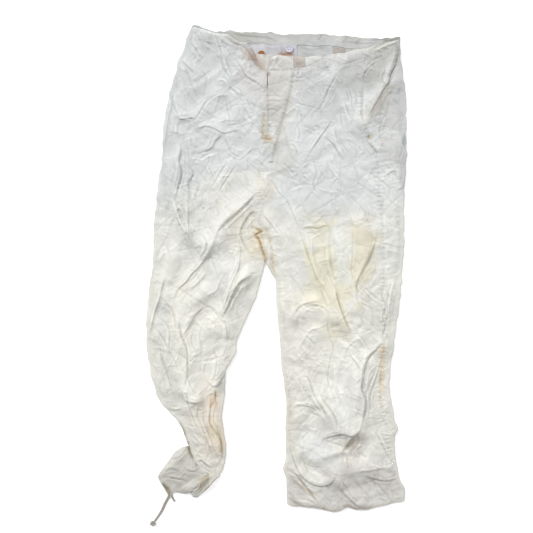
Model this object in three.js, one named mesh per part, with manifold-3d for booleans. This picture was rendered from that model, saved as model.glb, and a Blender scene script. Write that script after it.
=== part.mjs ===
// Overtrousers of thin cotton, laid flat on their back with the front up.
// Millimetres. +X is the wearer's left, +Y runs to the waist, +Z up off the surface.
// The origin is the middle of the footprint, on the surface.
import * as THREE from 'three';
import Module from 'manifold-3d';
import { mergeVertices } from 'three/addons/utils/BufferGeometryUtils.js';

const wasm = await Module();
wasm.setup();

// Driving sizes
const wall = 1.5;
const thinWall = 1.2;
const seamGap = 0.3;
const slantedGap = 0.6; // in y, where a seam climbs steeply at its corners
const casingHeight = 24;
const gapLift = 3.0;
const edgeFall = 45;
const crotchX = -22;
const crotchY = 18;
const legEndY = -452;
const buttonDiameter = 17;
const flyButtonDiameter = 15;
const buttonHoleDiameter = 2;
const tapeWidth = 6.5;
const tapeThickness = 2.4;

// Two layers of cloth that lie on each other
const edgeTop = 2 * wall + seamGap;
const turnRadius = edgeTop / 2;

// A short table: its first line names the columns
function table(columns, rows) {
  const names = columns.split(' ');
  return rows.map((row) => Object.fromEntries(names.map((name, i) => [name, row[i]])));
}

// The wearer's right leg as it lies: the x of each fold edge at a height y
const rightLeg = table('y outer inner', [
  [536, -184, -20],
  [500, -199, -20],
  [437, -221, -20.5],
  [375, -239, -20.5],
  [305, -248, -20.5],
  [262, -251, -28],
  [226, -254, -36],
  [146, -265, -40],
  [80, -270, -33],
  [54, -270, -33],
  [14, -271, -25],
  [-12, -275, -30],
  [-65, -282, -45],
  [-118, -287, -69],
  [-160, -286, -88],
  [-186, -284, -88],
  [-201, -282, -98],
  [-228, -277, -112],
  [-280, -262, -113],
  [-302, -250, -117],
  [-329, -221, -120],
  [-355, -206, -116],
  [-391, -193, -110],
  [-428, -180, -113],
  [-444, -160, -118],
  [-452, -149, -125],
]);

// The wearer's left leg: wrap is how far the back comes over the edge to the side seam
const leftLeg = table('y outer inner wrap', [
  [509, 272, 41, 55],
  [463, 273, 41, 58],
  [437, 277, 40, 70],
  [410, 280, 36, 88],
  [384, 285, 25, 100],
  [338, 286, 13, 101],
  [291, 286, 4, 88],
  [255, 286, -4, 72],
  [240, 285, -22, 68],
  [226, 284, -35, 62],
  [146, 281, -39, 54],
  [80, 280, -32, 48],
  [54, 280, -32, 46],
  [14, 278, -24, 44],
  [-9, 276, -13, 42],
  [-22, 275, -2, 41],
  [-65, 272, -1, 40],
  [-144, 261, 6, 26],
  [-223, 251, 12, 20],
  [-256, 249, 17, 22],
  [-302, 254, 22, 24],
  [-351, 266, 20, 26],
  [-382, 258, 21, 16],
  [-417, 262, 21, 10],
  [-439, 266, 14, 9],
  [-463, 272, 22, 9],
  [-492, 284, 22, 12],
  [-518, 277, 23, 12],
]);

// The waist's edges from side to side, and the open hem
const backWaist = table('x y', [
  [-200, 530], [-184, 536], [-160, 529], [-135, 519], [-107, 524], [-72, 520], [-10, 518],
  [16, 513], [34, 516], [96, 517], [151, 512], [184, 508], [239, 506], [272, 509],
]);
const rightWaist = table('x y', [
  [-200, 525], [-184, 532], [-160, 526], [-135, 517], [-107, 515], [-82, 498], [-65, 495],
  [-54, 483], [-50, 468], [-32, 446], [-18, 430],
]);
const leftWaist = table('x y', [
  [-20, 440], [-12, 464], [8, 468], [65, 464], [113, 471], [146, 473], [168, 480],
  [199, 483], [223, 492], [250, 499], [272, 504],
]);
const leftHem = table('x y', [
  [20, -517], [56, -524], [96, -528], [127, -535], [144, -531], [154, -523], [173, -530],
  [197, -530], [237, -520], [284, -510],
]);
const rightBandFoot = table('x y', [
  [-210, 500], [-196, 505], [-164, 501], [-139, 491], [-116, 488], [-96, 473], [-80, 467],
  [-74, 460], [-70, 448], [-50, 418], [-18, 396],
]);
const leftBandFoot = table('x y', [
  [-20, 434], [20, 437], [65, 436], [113, 443], [146, 446], [168, 452], [199, 458],
  [223, 466], [250, 474], [272, 480],
]);
const backBandFoot = table('x y', [
  [-200, 504], [-160, 500], [-107, 496], [-50, 494], [34, 492], [96, 491], [160, 484],
  [199, 483], [239, 480], [272, 480],
]);

// The largest folds. Each path is a ridge: width is from its crest to its foot.
const folds = table('name width height path', [
  ['hip corner', 22, 4, [[-210, 461], [-179, 421], [-182, 393]]],
  ['band slump', 24, 6, [[-160, 522], [-127, 494], [-113, 415]]],
  ['under slump', 20, 4, [[-85, 448], [-36, 399]]],
  ['hip ray', 22, 5, [[-131, 382], [-175, 340], [-182, 320]]],
  ['side tuck', 20, 5, [[-221, 340], [-190, 333]]],
  ['side crease', 20, 5, [[-226, 307], [-210, 263]]],
  ['cross hip', 20, 4, [[-160, 311], [-102, 298]]],
  ['side strip', 22, 7, [[-232, 232], [-246, 162]]],
  ['thigh side', 26, 8, [[-217, 248], [-217, 173], [-195, 116], [-186, 74], [-160, 50]]],
  ['front ray', 22, 4, [[-102, 226], [-144, 179]]],
  ['thigh diagonal', 38, 9, [[-38, 168], [-80, 131], [-127, 85], [-144, 45]]],
  ['outer knee', 26, 8, [[-230, 23], [-254, -38], [-264, -94], [-266, -135]]],
  ['mid knee', 24, 6, [[-160, 36], [-190, -23], [-206, -58]]],
  ['knee hook', 28, 10, [[-151, -50], [-204, -89], [-210, -135], [-195, -179], [-195, -234]]],
  ['inner knee', 30, 11, [[-72, -14], [-100, -65], [-124, -105], [-127, -135]]],
  ['knee cross', 22, 5, [[-60, -20], [-89, -38]]],
  ['knee flap', 26, 10, [[-109, -135], [-112, -197], [-138, -254]]],
  ['shin outer', 26, 8, [[-248, -151], [-221, -226], [-208, -258], [-179, -285]]],
  ['flap tip', 18, 6, [[-201, -265], [-175, -287], [-151, -272]]],
  ['shin inner', 18, 6, [[-135, -263], [-134, -360], [-130, -417]]],
  ['shin mid', 22, 7, [[-190, -283], [-168, -377], [-157, -426]]],
  ['calf tuck', 20, 5, [[-232, -300], [-208, -309]]],
  ['pocket diagonal', 34, 10, [[262, 452], [239, 399], [195, 320]]],
  ['seam tuck', 20, 6, [[193, 311], [221, 252]]],
  ['front tuck', 20, 5, [[148, 358], [166, 314], [199, 309]]],
  ['waist ray', 20, 5, [[120, 410], [138, 446], [199, 475]]],
  ['fly side', 20, 4, [[43, 366], [65, 320], [50, 280]]],
  ['fly foot', 20, 4, [[34, 272], [47, 239], [65, 182]]],
  ['crotch ray', 20, 5, [[8, 160], [38, 127]]],
  ['thigh ray', 24, 7, [[32, 105], [72, 14], [91, -36]]],
  ['crotch arch', 20, 6, [[-23, 109], [3, 65], [6, 23]]],
  ['stain edge', 24, 7, [[188, 96], [188, 3], [175, -47], [182, -91]]],
  ['long knee', 30, 9, [[129, -50], [157, -135], [173, -155]]],
  ['knee arch', 26, 8, [[38, -105], [74, -74], [122, -109]]],
  ['knee thin', 20, 4, [[45, -182], [76, -146], [120, -111]]],
  ['shin side', 34, 11, [[230, -168], [193, -206], [184, -248], [175, -349]]],
  ['shin facet', 26, 7, [[160, -179], [168, -232]]],
  ['shin ray', 22, 6, [[56, -245], [91, -309], [124, -349]]],
  ['folded tip', 30, 11, [[107, -292], [131, -322], [155, -371], [175, -355]]],
  ['hem ripple', 22, 5, [[78, -413], [142, -402]]],
  ['pouch', 26, 9, [[38, -440], [65, -466], [111, -474], [133, -443], [133, -419]]],
  ['hem diagonal', 24, 7, [[124, -461], [162, -500], [186, -512]]],
  ['hem side', 22, 5, [[195, -426], [239, -457]]],
  ['hem corner', 20, 5, [[42, -487], [89, -505]]],
  ['hem cross', 22, 5, [[140, -441], [201, -441]]],
]);

// Straight interpolation of one column of a table against another
function read(rows, keyName, valueName, key) {
  const rising = rows[0][keyName] < rows[rows.length - 1][keyName];
  const sorted = rising ? rows : [...rows].reverse();
  if (key <= sorted[0][keyName]) return sorted[0][valueName];
  for (let i = 1; i < sorted.length; i += 1) {
    const low = sorted[i - 1];
    const high = sorted[i];
    if (key <= high[keyName]) {
      const part = (key - low[keyName]) / (high[keyName] - low[keyName]);
      return THREE.MathUtils.lerp(low[valueName], high[valueName], part);
    }
  }
  return sorted[sorted.length - 1][valueName];
}

const rightOuter = (y) => read(rightLeg, 'y', 'outer', y);
const rightInner = (y) => read(rightLeg, 'y', 'inner', y);
const leftOuter = (y) => read(leftLeg, 'y', 'outer', y);
const leftInner = (y) => read(leftLeg, 'y', 'inner', y);
const sideSeam = (y) => leftOuter(y) - read(leftLeg, 'y', 'wrap', y);
const edgeAt = (rows) => (x) => read(rows, 'x', 'y', x);

// Distance to the nearest edge of the garment, where its two layers meet
function edgeDistance(x, y) {
  const sides = Math.min(x - rightOuter(y), leftOuter(y) - x);
  if (y > crotchY) return Math.min(sides, Math.hypot(x - crotchX, y - crotchY));
  const onRight = x < crotchX || (x < leftInner(y) && x <= rightInner(y));
  return Math.min(sides, onRight ? rightInner(y) - x : x - leftInner(y));
}

function segmentDistance(x, y, [ax, ay], [bx, by]) {
  const part = ((x - ax) * (bx - ax) + (y - ay) * (by - ay)) / ((bx - ax) ** 2 + (by - ay) ** 2);
  const along = THREE.MathUtils.clamp(part, 0, 1);
  return Math.hypot(x - ax - along * (bx - ax), y - ay - along * (by - ay));
}

function foldHeight(x, y) {
  let sum = 0;
  for (const fold of folds) {
    let nearest = Infinity;
    for (let i = 1; i < fold.path.length; i += 1) {
      nearest = Math.min(nearest, segmentDistance(x, y, fold.path[i - 1], fold.path[i]));
    }
    if (nearest < fold.width) sum += fold.height * Math.cos(0.5 * Math.PI * nearest / fold.width) ** 2;
  }
  return sum;
}

// The stack of cloth at the fly's button lifts the fronts over it
const flyButton = { x: -33, y: 471, height: 1.6, rim: 1.6, dish: 0.4 };
const stackLift = 4.5;
const stackReach = 62;
function stackHeight(x, y) {
  const reach = Math.hypot(x - flyButton.x, y - flyButton.y) / stackReach;
  return reach < 1 ? stackLift * (1 - reach ** 2) ** 2 : 0;
}

// Height of the front's outer face
function topHeight(x, y) {
  const near = THREE.MathUtils.clamp((edgeDistance(x, y) - turnRadius) / edgeFall, 0, 1);
  const rise = 1 - (1 - near) ** 2;
  return edgeTop + rise * (gapLift + foldHeight(x, y) + stackHeight(x, y));
}

// A closed wall between two grids of points. With loop, the columns close on themselves.
function shell(outer, inner, columns, rows, loop = false) {
  const positions = [];
  const index = [];
  const across = loop ? columns : columns + 1;
  for (const side of [outer, inner]) {
    for (let j = 0; j <= rows; j += 1) {
      for (let i = 0; i < across; i += 1) positions.push(...side(i, j));
    }
  }
  const layer = across * (rows + 1);
  const at = (side, i, j) => side * layer + j * across + (i % across);
  const quad = (a, b, c, d) => index.push(a, b, c, a, c, d);
  for (let j = 0; j < rows; j += 1) {
    for (let i = 0; i < columns; i += 1) {
      quad(at(0, i, j), at(0, i + 1, j), at(0, i + 1, j + 1), at(0, i, j + 1));
      quad(at(1, i, j), at(1, i, j + 1), at(1, i + 1, j + 1), at(1, i + 1, j));
    }
  }
  for (let i = 0; i < columns; i += 1) {
    quad(at(1, i, 0), at(1, i + 1, 0), at(0, i + 1, 0), at(0, i, 0));
    quad(at(0, i, rows), at(0, i + 1, rows), at(1, i + 1, rows), at(1, i, rows));
  }
  for (let j = 0; j < rows && !loop; j += 1) {
    quad(at(0, 0, j), at(0, 0, j + 1), at(1, 0, j + 1), at(1, 0, j));
    quad(at(1, columns, j), at(1, columns, j + 1), at(0, columns, j + 1), at(0, columns, j));
  }
  return facingOut(positions, index);
}

// Turns a closed mesh's faces outwards
function facingOut(positions, index) {
  let volume = 0;
  const point = (n) => new THREE.Vector3().fromArray(positions, 3 * n);
  for (let n = 0; n < index.length; n += 3) {
    volume += point(index[n]).dot(point(index[n + 1]).cross(point(index[n + 2])));
  }
  if (volume < 0) index.reverse();
  const geometry = new THREE.BufferGeometry();
  geometry.setAttribute('position', new THREE.Float32BufferAttribute(positions, 3));
  geometry.setIndex(index);
  return geometry;
}

// A point of the plan between two side curves x(y) and two end curves y(x).
// Each warp line runs from the top edge to the bottom edge at one share u of the width.
const settleSteps = 12;
function planPoint({ inner, outer, top, bottom }, u, v) {
  const endOf = (edge) => {
    let y = edge(0);
    for (let n = 0; n < settleSteps; n += 1) {
      y = 0.5 * (y + edge(THREE.MathUtils.lerp(inner(y), outer(y), u)));
    }
    return y;
  };
  const y = THREE.MathUtils.lerp(endOf(top), endOf(bottom), v);
  return [THREE.MathUtils.lerp(inner(y), outer(y), u), y];
}

// Columns stand closer together near a panel's two sides, where it rounds down
const bunching = 0.55;
const bunched = (u) => THREE.MathUtils.lerp(u, 0.5 - 0.5 * Math.cos(Math.PI * u), bunching);

// Wall between a plan's top face and its underside, for heights that are functions of x and y
function layer(plan, columns, rows, face, back) {
  const raise = (height) => (i, j) => {
    const [x, y] = plan(i, j);
    return [x, y, height(x, y)];
  };
  return shell(raise(face), raise(back), columns, rows);
}

const underFront = (x, y) => topHeight(x, y) - wall;
const flat = (height) => () => height;
const below = (edge) => (x) => edgeAt(edge)(x) - seamGap;
const hair = seamGap / 2;

// Rows and columns of the panels
const rows = 46;
const rightColumns = 14;
const leftColumns = 13;
const wrapColumns = 5;
const turnColumns = 4;
const backColumns = 6;

// Outlines of the four panels
const legEnd = () => legEndY;
const casingTop = (x) => edgeAt(leftHem)(x) + casingHeight;
const centreBackTop = 2;
const waistY = 490;
function centreSeam(y) {
  const rise = THREE.MathUtils.clamp((y - crotchY) / (waistY - crotchY), 0, 1);
  return THREE.MathUtils.lerp(crotchX, centreBackTop, rise);
}
const foldLine = (y) => leftOuter(y) - turnRadius;
const outlines = {
  frontRight: {
    inner: (y) => rightInner(y) - hair,
    outer: rightOuter,
    top: below(rightBandFoot),
    bottom: legEnd,
  },
  frontLeft: {
    inner: (y) => leftInner(y) + hair,
    outer: (y) => sideSeam(y) - seamGap,
    top: below(leftBandFoot),
    bottom: casingTop,
  },
  wrap: { inner: foldLine, outer: sideSeam, top: below(leftBandFoot), bottom: casingTop },
  backRight: {
    inner: (y) => (y > crotchY ? centreSeam(y) : rightInner(y)) - hair,
    outer: rightOuter,
    top: below(backBandFoot),
    bottom: legEnd,
  },
  backLeft: {
    inner: (y) => (y > crotchY ? centreSeam(y) : leftInner(y)) + hair,
    outer: foldLine,
    top: below(backBandFoot),
    bottom: casingTop,
  },
};
const frontRightPlan = (i, j) => planPoint(outlines.frontRight, bunched(i / rightColumns), j / rows);
const frontLeftPlan = (i, j) => planPoint(outlines.frontLeft, bunched(i / leftColumns), j / rows);
const backRightPlan = (i, j) => planPoint(outlines.backRight, i / backColumns, j / rows);
const wrapPlan = (i, j) => planPoint(outlines.wrap, bunched(i / wrapColumns), j / rows);
const backLeftPlan = (i, j) => planPoint(outlines.backLeft, i / backColumns, j / rows);

// A point on the side fold: angle 0 is the bottom layer, half a turn is the top layer
function turnPoint(x, y, step, outerFace, towards) {
  const angle = Math.PI * step / turnColumns;
  const radius = outerFace ? turnRadius : turnRadius - wall;
  return [x + towards * radius * Math.sin(angle), y, turnRadius - radius * Math.cos(angle)];
}

// The left back: across the bottom, round the side fold, and over to the side seam
function backLeftShell() {
  const side = (outerFace) => (i, j) => {
    if (i < backColumns) return [...backLeftPlan(i, j), outerFace ? 0 : wall];
    if (i <= backColumns + turnColumns) {
      const [x, y] = backLeftPlan(backColumns, j);
      return turnPoint(x, y, i - backColumns, outerFace, 1);
    }
    const [x, y] = wrapPlan(i - backColumns - turnColumns, j);
    return [x, y, outerFace ? topHeight(x, y) : underFront(x, y)];
  };
  return shell(side(true), side(false), backColumns + turnColumns + wrapColumns, rows);
}

// A band runs from a row of head points to the panel points at its foot
function bandPlan(headPoints, footPoints, bandRows, gap = seamGap) {
  return (i, j) => {
    const [headX, headY] = headPoints[i];
    const [footX, footY] = footPoints[i];
    const v = j / bandRows;
    return [THREE.MathUtils.lerp(headX, footX, v), THREE.MathUtils.lerp(headY, footY + gap, v)];
  };
}
const count = (n) => Array.from({ length: n + 1 }, (_, i) => i);

const group = new THREE.Group();
function add(name, geometry, colour, roughness = 0.9, metalness = 0) {
  const material = new THREE.MeshStandardMaterial({ color: colour, roughness, metalness });
  const mesh = new THREE.Mesh(geometry, material);
  mesh.name = name;
  group.add(mesh);
}

// Front and back panels
add('front_right', layer(frontRightPlan, rightColumns, rows, topHeight, underFront), '#d6dad9');
add('front_left', layer(frontLeftPlan, leftColumns, rows, topHeight, underFront), '#d8d9d4');
add('back_right', layer(backRightPlan, backColumns, rows, flat(wall), flat(0)), '#c9ccca');
add('back_left', backLeftShell(), '#cdd0cc');

// Fly overlap: from its free edge to the topstitch line, where the left front begins
const flyColumns = 3;
const flyRows = 10;
const flyClearance = 1.2;
function flyPlan(i, j) {
  const [x, y] = frontLeftPlan(0, j);
  const freeEdge = rightInner(y) + flyClearance;
  return [THREE.MathUtils.lerp(freeEdge, x - seamGap, i / flyColumns), y];
}
add('fly_overlap', layer(flyPlan, flyColumns, flyRows, topHeight, underFront), '#dddacd');

// Waistband: the back's band lies on the surface, the fronts' bands lie over it
const bandRows = 2;
const bandEnds = { right: -184, left: 272, rightFly: -21, tab: -12, drawnIn: 3 };
const backFoot = [
  ...count(backColumns).reverse().map((i) => backRightPlan(i, 0)),
  ...count(backColumns).slice(1).map((i) => backLeftPlan(i, 0)),
];
const backHead = count(backFoot.length - 1).map((i) => {
  const x = THREE.MathUtils.lerp(bandEnds.right, bandEnds.left, i / (backFoot.length - 1));
  return [x, edgeAt(backWaist)(x)];
});
add('waistband_back', layer(
  bandPlan(backHead, backFoot, bandRows), backFoot.length - 1, bandRows, flat(wall), flat(0),
), '#c9cbc6');

const rightBandHead = count(rightColumns).map((i) => {
  const x = THREE.MathUtils.lerp(bandEnds.rightFly, bandEnds.right, bunched(i / rightColumns));
  return [x, edgeAt(rightWaist)(x)];
});
const rightBandFootPoints = count(rightColumns).map((i) => frontRightPlan(i, 0));
const rightBandPlan = bandPlan(rightBandHead, rightBandFootPoints, bandRows);
const rightBandLayer = layer(rightBandPlan, rightColumns, bandRows, topHeight, underFront);
add('waistband_front_right', rightBandLayer, '#d7d9d6');

const leftBandFootPoints = [
  ...count(flyColumns).slice(0, flyColumns).map((i) => flyPlan(i, 0)),
  ...count(leftColumns).map((i) => frontLeftPlan(i, 0)),
  ...count(wrapColumns).slice(0, wrapColumns).reverse().map((i) => wrapPlan(i, 0)),
];
const leftBandColumns = leftBandFootPoints.length - 1;
const leftBandHead = leftBandFootPoints.map(([x], i) => {
  const headX = Math.max(x, bandEnds.tab) - bandEnds.drawnIn * i / leftBandColumns;
  return [headX, edgeAt(leftWaist)(headX)];
});
const leftBandPlan = bandPlan(leftBandHead, leftBandFootPoints, bandRows, slantedGap);
const leftBandLayer = layer(leftBandPlan, leftBandColumns, bandRows, topHeight, underFront);
add('waistband_front_left', leftBandLayer, '#d9d9d3');

// Button end of the right band, and the fly's underlay with its button
const underlapLow = wall + seamGap;
const underlapTop = underlapLow + thinWall;
const underlap = { left: -67, right: 45, head: 493, foot: 463, columns: 6, rows: 2 };
function flatSheet(sheet, low, high) {
  const plan = (i, j) => [
    THREE.MathUtils.lerp(sheet.left, sheet.right, i / sheet.columns),
    THREE.MathUtils.lerp(sheet.head, sheet.foot, j / sheet.rows),
  ];
  return layer(plan, sheet.columns, sheet.rows, flat(high), flat(low));
}
add('waistband_underlap', flatSheet(underlap, underlapLow, underlapTop), '#c5c9cd');

const underlayLow = underlapTop + seamGap;
const overButton = underlayLow + flyButton.height + seamGap;
const buttonCover = { crest: 11, foot: 26 };
function underlayBottom(x, y) {
  const reach = Math.hypot(x - flyButton.x, y - flyButton.y);
  const fall = THREE.MathUtils.smoothstep(reach, buttonCover.crest, buttonCover.foot);
  return THREE.MathUtils.lerp(overButton, underlayLow, fall);
}
const underlay = {
  head: 471, foot: 250, slant: 2, headLeft: -46, footLeft: -42, headRight: 12, footRight: -10,
  columns: 5, rows: 24, rowBunching: 1.5,
};
function underlayPlan(i, j) {
  const down = j / underlay.rows;
  const across = i / underlay.columns;
  const left = THREE.MathUtils.lerp(underlay.headLeft, underlay.footLeft, down);
  const right = THREE.MathUtils.lerp(underlay.headRight, underlay.footRight, down);
  const y = THREE.MathUtils.lerp(underlay.head, underlay.foot, down ** underlay.rowBunching);
  return [THREE.MathUtils.lerp(left, right, across), y - underlay.slant * across];
}
const underlayTop = (x, y) => underlayBottom(x, y) + thinWall;
const underlayLayer = layer(underlayPlan, underlay.columns, underlay.rows, underlayTop, underlayBottom);
add('fly_underlay', underlayLayer, '#e2dccb');

// Reinforcement squares, made from the points of the cloth they lie on
const patchWall = 0.9;
const patchColour = '#d2bfb4';
const leftPatch = { firstColumn: 3, columns: 3 };
const rightPatch = { firstColumn: 3, columns: 2 };
function patchOn(plan, { firstColumn, columns }) {
  const low = (x, y) => topHeight(x, y) + seamGap;
  const high = (x, y) => low(x, y) + patchWall;
  return layer((i, j) => plan(i + firstColumn, j), columns, bandRows, high, low);
}
add('patch_left', patchOn(leftBandPlan, leftPatch), patchColour);
add('patch_right', patchOn(rightBandPlan, rightPatch), patchColour);
const backPatch = { left: 124, right: 151, head: 487, foot: 456, columns: 1, rows: 1 };
add('patch_back', flatSheet(backPatch, underlapLow, underlapLow + patchWall), patchColour);

// Casing of the open hem: a flattened ring that carries on from the left leg's panels
const casingRows = 2;
function casingPoint(footPoint, j) {
  const [x, y] = footPoint;
  return [x, THREE.MathUtils.lerp(y - slantedGap, edgeAt(leftHem)(x), j / casingRows)];
}
function casingShell() {
  const side = (outerFace) => {
    const face = outerFace ? topHeight : underFront;
    const stops = [
      ...count(leftColumns).slice(1).map((i) => (j) => {
        const [x, y] = casingPoint(frontLeftPlan(i, rows), j);
        return [x, y, face(x, y)];
      }),
      ...count(wrapColumns - 1).slice(1).reverse().map((i) => (j) => {
        const [x, y] = casingPoint(wrapPlan(i, rows), j);
        return [x, y, face(x, y)];
      }),
      ...count(turnColumns).reverse().map((step) => (j) => {
        const [x, y] = casingPoint(backLeftPlan(backColumns, rows), j);
        return turnPoint(x, y, step, outerFace, 1);
      }),
      ...count(backColumns - 1).slice(1).reverse().map((i) => (j) => {
        const [x, y] = casingPoint(backLeftPlan(i, rows), j);
        return [x, y, outerFace ? 0 : wall];
      }),
      ...count(turnColumns).map((step) => (j) => {
        const [x, y] = casingPoint(frontLeftPlan(0, rows), j);
        return turnPoint(x + turnRadius, y, step, outerFace, -1);
      }),
    ];
    return { points: (i, j) => stops[i % stops.length](j), columns: stops.length };
  };
  const outerSide = side(true);
  return shell(outerSide.points, side(false).points, outerSide.columns, casingRows, true);
}
add('hem_left', casingShell(), '#d3cfc6');

// The gathered right ankle: a rounded stack of folded layers between the leg's end and its far rim
const ankleClear = { x: -0.3, y: -0.35 };
const legSideHeights = [6, 9, 12, 13.5, 12, 5];
const legSidePoints = [
  ...count(2).map((n) => frontRightPlan(rightColumns, rows - 3 + n)),
  ...[rightColumns, rightColumns / 2, 0].map((i) => frontRightPlan(i, rows)),
];
const ankleLegSide = legSidePoints.map(([x, y], n) => ({
  x: x + ankleClear.x, y: y + ankleClear.y, height: legSideHeights[n],
}));
const ankleRim = table('x y crest', [
  [-207, -392, 5], [-213, -396, 7], [-222, -401, 9], [-228, -409, 12], [-233, -417, 14],
  [-246, -434, 16],
  [-258, -450, 15], [-261, -457, 14], [-258, -465, 12], [-254, -473, 10], [-248, -481, 7],
  [-240, -496, 4.5],
  [-229, -497, 4.5], [-224, -490, 8], [-213, -493, 12], [-200, -495, 14], [-187, -493, 12],
  [-185, -502, 7],
  [-174, -504, 6], [-165, -496, 10], [-153, -486, 12], [-145, -478, 10], [-136, -467, 7], [-124, -457, 5],
]);
const ankleSteps = 45;
const pleats = { count: 11, depth: 1.6 };
const crestReach = 0.6;
const ankleLowest = 2.9;
const ankleProfile = table('reach rise', [
  [0, 0.55], [0.15, 0.85], [0.4, 1], [0.62, 0.97], [0.8, 0.78], [0.91, 0.52], [0.965, 0.32], [0.99, 0.2],
]);
// At the rim two layers show, one over the other
const rimLayers = table('inset height', [[0, 2.6], [1.8, 2.1], [0, 1.6], [0, 0.5]]);
function alongTable(rowsOf, share) {
  const place = share * (rowsOf.length - 1);
  const i = Math.min(Math.floor(place), rowsOf.length - 2);
  const mix = (name) => THREE.MathUtils.lerp(rowsOf[i][name], rowsOf[i + 1][name], place - i);
  return mix;
}
const ankleLevels = ankleProfile.length + rimLayers.length - 1;
function anklePoint(i, j, flatSide) {
  const near = alongTable(ankleLegSide, i / ankleSteps);
  const far = alongTable(ankleRim, i / ankleSteps);
  const from = new THREE.Vector2(near('x'), near('y'));
  const to = new THREE.Vector2(far('x'), far('y'));
  const span = from.distanceTo(to);
  const level = j < ankleProfile.length ? ankleProfile[j] : rimLayers[j - ankleProfile.length];
  const reach = flatSide ? j / ankleLevels : level.reach ?? 1 - level.inset / span;
  const { x, y } = from.lerp(to, reach);
  if (flatSide) return [x, y, 0];
  if (level.height) return [x, y, level.height];
  const turns = pleats.count * i / ankleSteps;
  const pleat = pleats.depth * Math.sin(2 * Math.PI * turns) * Math.sin(Math.PI * reach);
  const towardsRim = THREE.MathUtils.smoothstep(reach, 0, crestReach);
  const crest = THREE.MathUtils.lerp(near('height'), far('crest'), towardsRim);
  return [x, y, Math.max(ankleLowest, crest * level.rise + pleat)];
}
add('cuff_right', shell(
  (i, j) => anklePoint(i, j, false), (i, j) => anklePoint(i, j, true), ankleSteps, ankleLevels,
), '#d5d4cc');

// Drawstring of the right ankle: a flat tape, its knot and the short end beside it
const tapeColour = '#b3aba0';
const stubWidth = 4.55;
const clearOfFloor = 0.1;
const tapeRest = tapeThickness / 2 + clearOfFloor;
function flatTape(points, width, thickness) {
  const section = new THREE.Shape();
  section.absellipse(0, 0, thickness / 2, width / 2, 0, 2 * Math.PI, false, 0);
  const extrudePath = new THREE.CatmullRomCurve3(points.map((p) => new THREE.Vector3(...p)));
  return new THREE.ExtrudeGeometry(section, {
    steps: points.length - 1, extrudePath, curveSegments: 8, bevelEnabled: false,
  });
}
const tapePoints = [
  [-236, -496.95, 2.2], [-236.4, -501, 2], [-239.5, -507, 1.6], [-244, -515, tapeRest],
  [-249, -526, tapeRest], [-254, -536, tapeRest], [-260.5, -545.5, tapeRest], [-267.2, -555.1, tapeRest],
];
const stubPoints = [
  [-229.9, -497.3, 2.2], [-229.6, -501, 1.9], [-227, -507, 1.5], [-223, -512, tapeRest],
];
add('ankle_tape', flatTape(tapePoints, tapeWidth, tapeThickness), tapeColour);
add('tape_stub', flatTape(stubPoints, stubWidth, tapeThickness), tapeColour);

// Closed meshes joined or cut as solids
function solid(geometry) {
  const bare = geometry.clone();
  bare.deleteAttribute('normal');
  bare.deleteAttribute('uv');
  const merged = mergeVertices(bare, 1e-4);
  const corners = Array.from(merged.index.array);
  const kept = [];
  for (let n = 0; n < corners.length; n += 3) {
    const [a, b, c] = corners.slice(n, n + 3);
    if (a !== b && b !== c && c !== a) kept.push(a, b, c);
  }
  return new wasm.Manifold(new wasm.Mesh({
    numProp: 3, vertProperties: merged.attributes.position.array, triVerts: Uint32Array.from(kept),
  }));
}
function fromSolid(result) {
  const mesh = result.getMesh();
  const geometry = new THREE.BufferGeometry();
  geometry.setAttribute('position', new THREE.BufferAttribute(Float32Array.from(mesh.vertProperties), 3));
  geometry.setIndex(Array.from(mesh.triVerts));
  return geometry;
}

const knot = { x: -270.6, y: -559.6, length: 11, width: 9, height: 6, turn: -0.55 };
const fray = { radius: 1.7, length: 9, flatness: 0.8, height: 2 };
function knotShape() {
  const lump = new THREE.SphereGeometry(0.5, 12, 8);
  lump.scale(knot.width, knot.length, knot.height);
  lump.rotateZ(knot.turn);
  lump.translate(knot.x, knot.y, knot.height / 2 + clearOfFloor);
  let body = solid(lump);
  const frays = table('x y turn', [[-277, -554, 0.9], [-273.5, -566, 2.7]]);
  for (const { x, y, turn } of frays) {
    const tip = new THREE.ConeGeometry(fray.radius, fray.length, 6);
    tip.scale(1, 1, fray.flatness);
    tip.rotateZ(turn);
    tip.translate(x, y, fray.height);
    body = body.add(solid(tip));
  }
  return fromSolid(body);
}
add('tape_knot', knotShape(), '#aba295');

// Buttons: a turned disc with a rim and a dished middle
const discShape = { foot: 0.8, low: 0.35, high: 0.7, rimEdge: 0.4, dishEdge: 1.5 };
function disc(diameter, height, rim, dish) {
  const r = diameter / 2;
  const profile = [
    [0, 0], [r * discShape.foot, 0], [r, height * discShape.low], [r, height * discShape.high],
    [r - rim * discShape.rimEdge, height], [r - rim, height],
    [r - rim * discShape.dishEdge, height - dish], [0, height - dish],
  ].map(([x, y]) => new THREE.Vector2(x, y));
  const shape = new THREE.LatheGeometry(profile, 24);
  shape.rotateX(Math.PI / 2);
  return shape;
}
const waistButton = { x: 27.5, y: 483, height: 3, rim: 2, dish: 0.8, holeOffset: 2.4 };
const drillLength = 12;
function holedButton() {
  let body = solid(disc(buttonDiameter, waistButton.height, waistButton.rim, waistButton.dish));
  for (const sideX of [-1, 1]) {
    for (const sideY of [-1, 1]) {
      const holeRadius = buttonHoleDiameter / 2;
      const drill = new THREE.CylinderGeometry(holeRadius, holeRadius, drillLength, 8);
      drill.rotateX(Math.PI / 2);
      drill.translate(sideX * waistButton.holeOffset, sideY * waistButton.holeOffset, 0);
      body = body.subtract(solid(drill));
    }
  }
  const shape = fromSolid(body);
  shape.translate(waistButton.x, waistButton.y, underlayLow);
  return shape;
}
add('waist_button', holedButton(), '#cbc7d2', 0.35);
const flyButtonShape = disc(flyButtonDiameter, flyButton.height, flyButton.rim, flyButton.dish);
flyButtonShape.translate(flyButton.x, flyButton.y, underlayLow);
add('fly_button', flyButtonShape, '#8a5a30', 0.5);

export default group;
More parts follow.
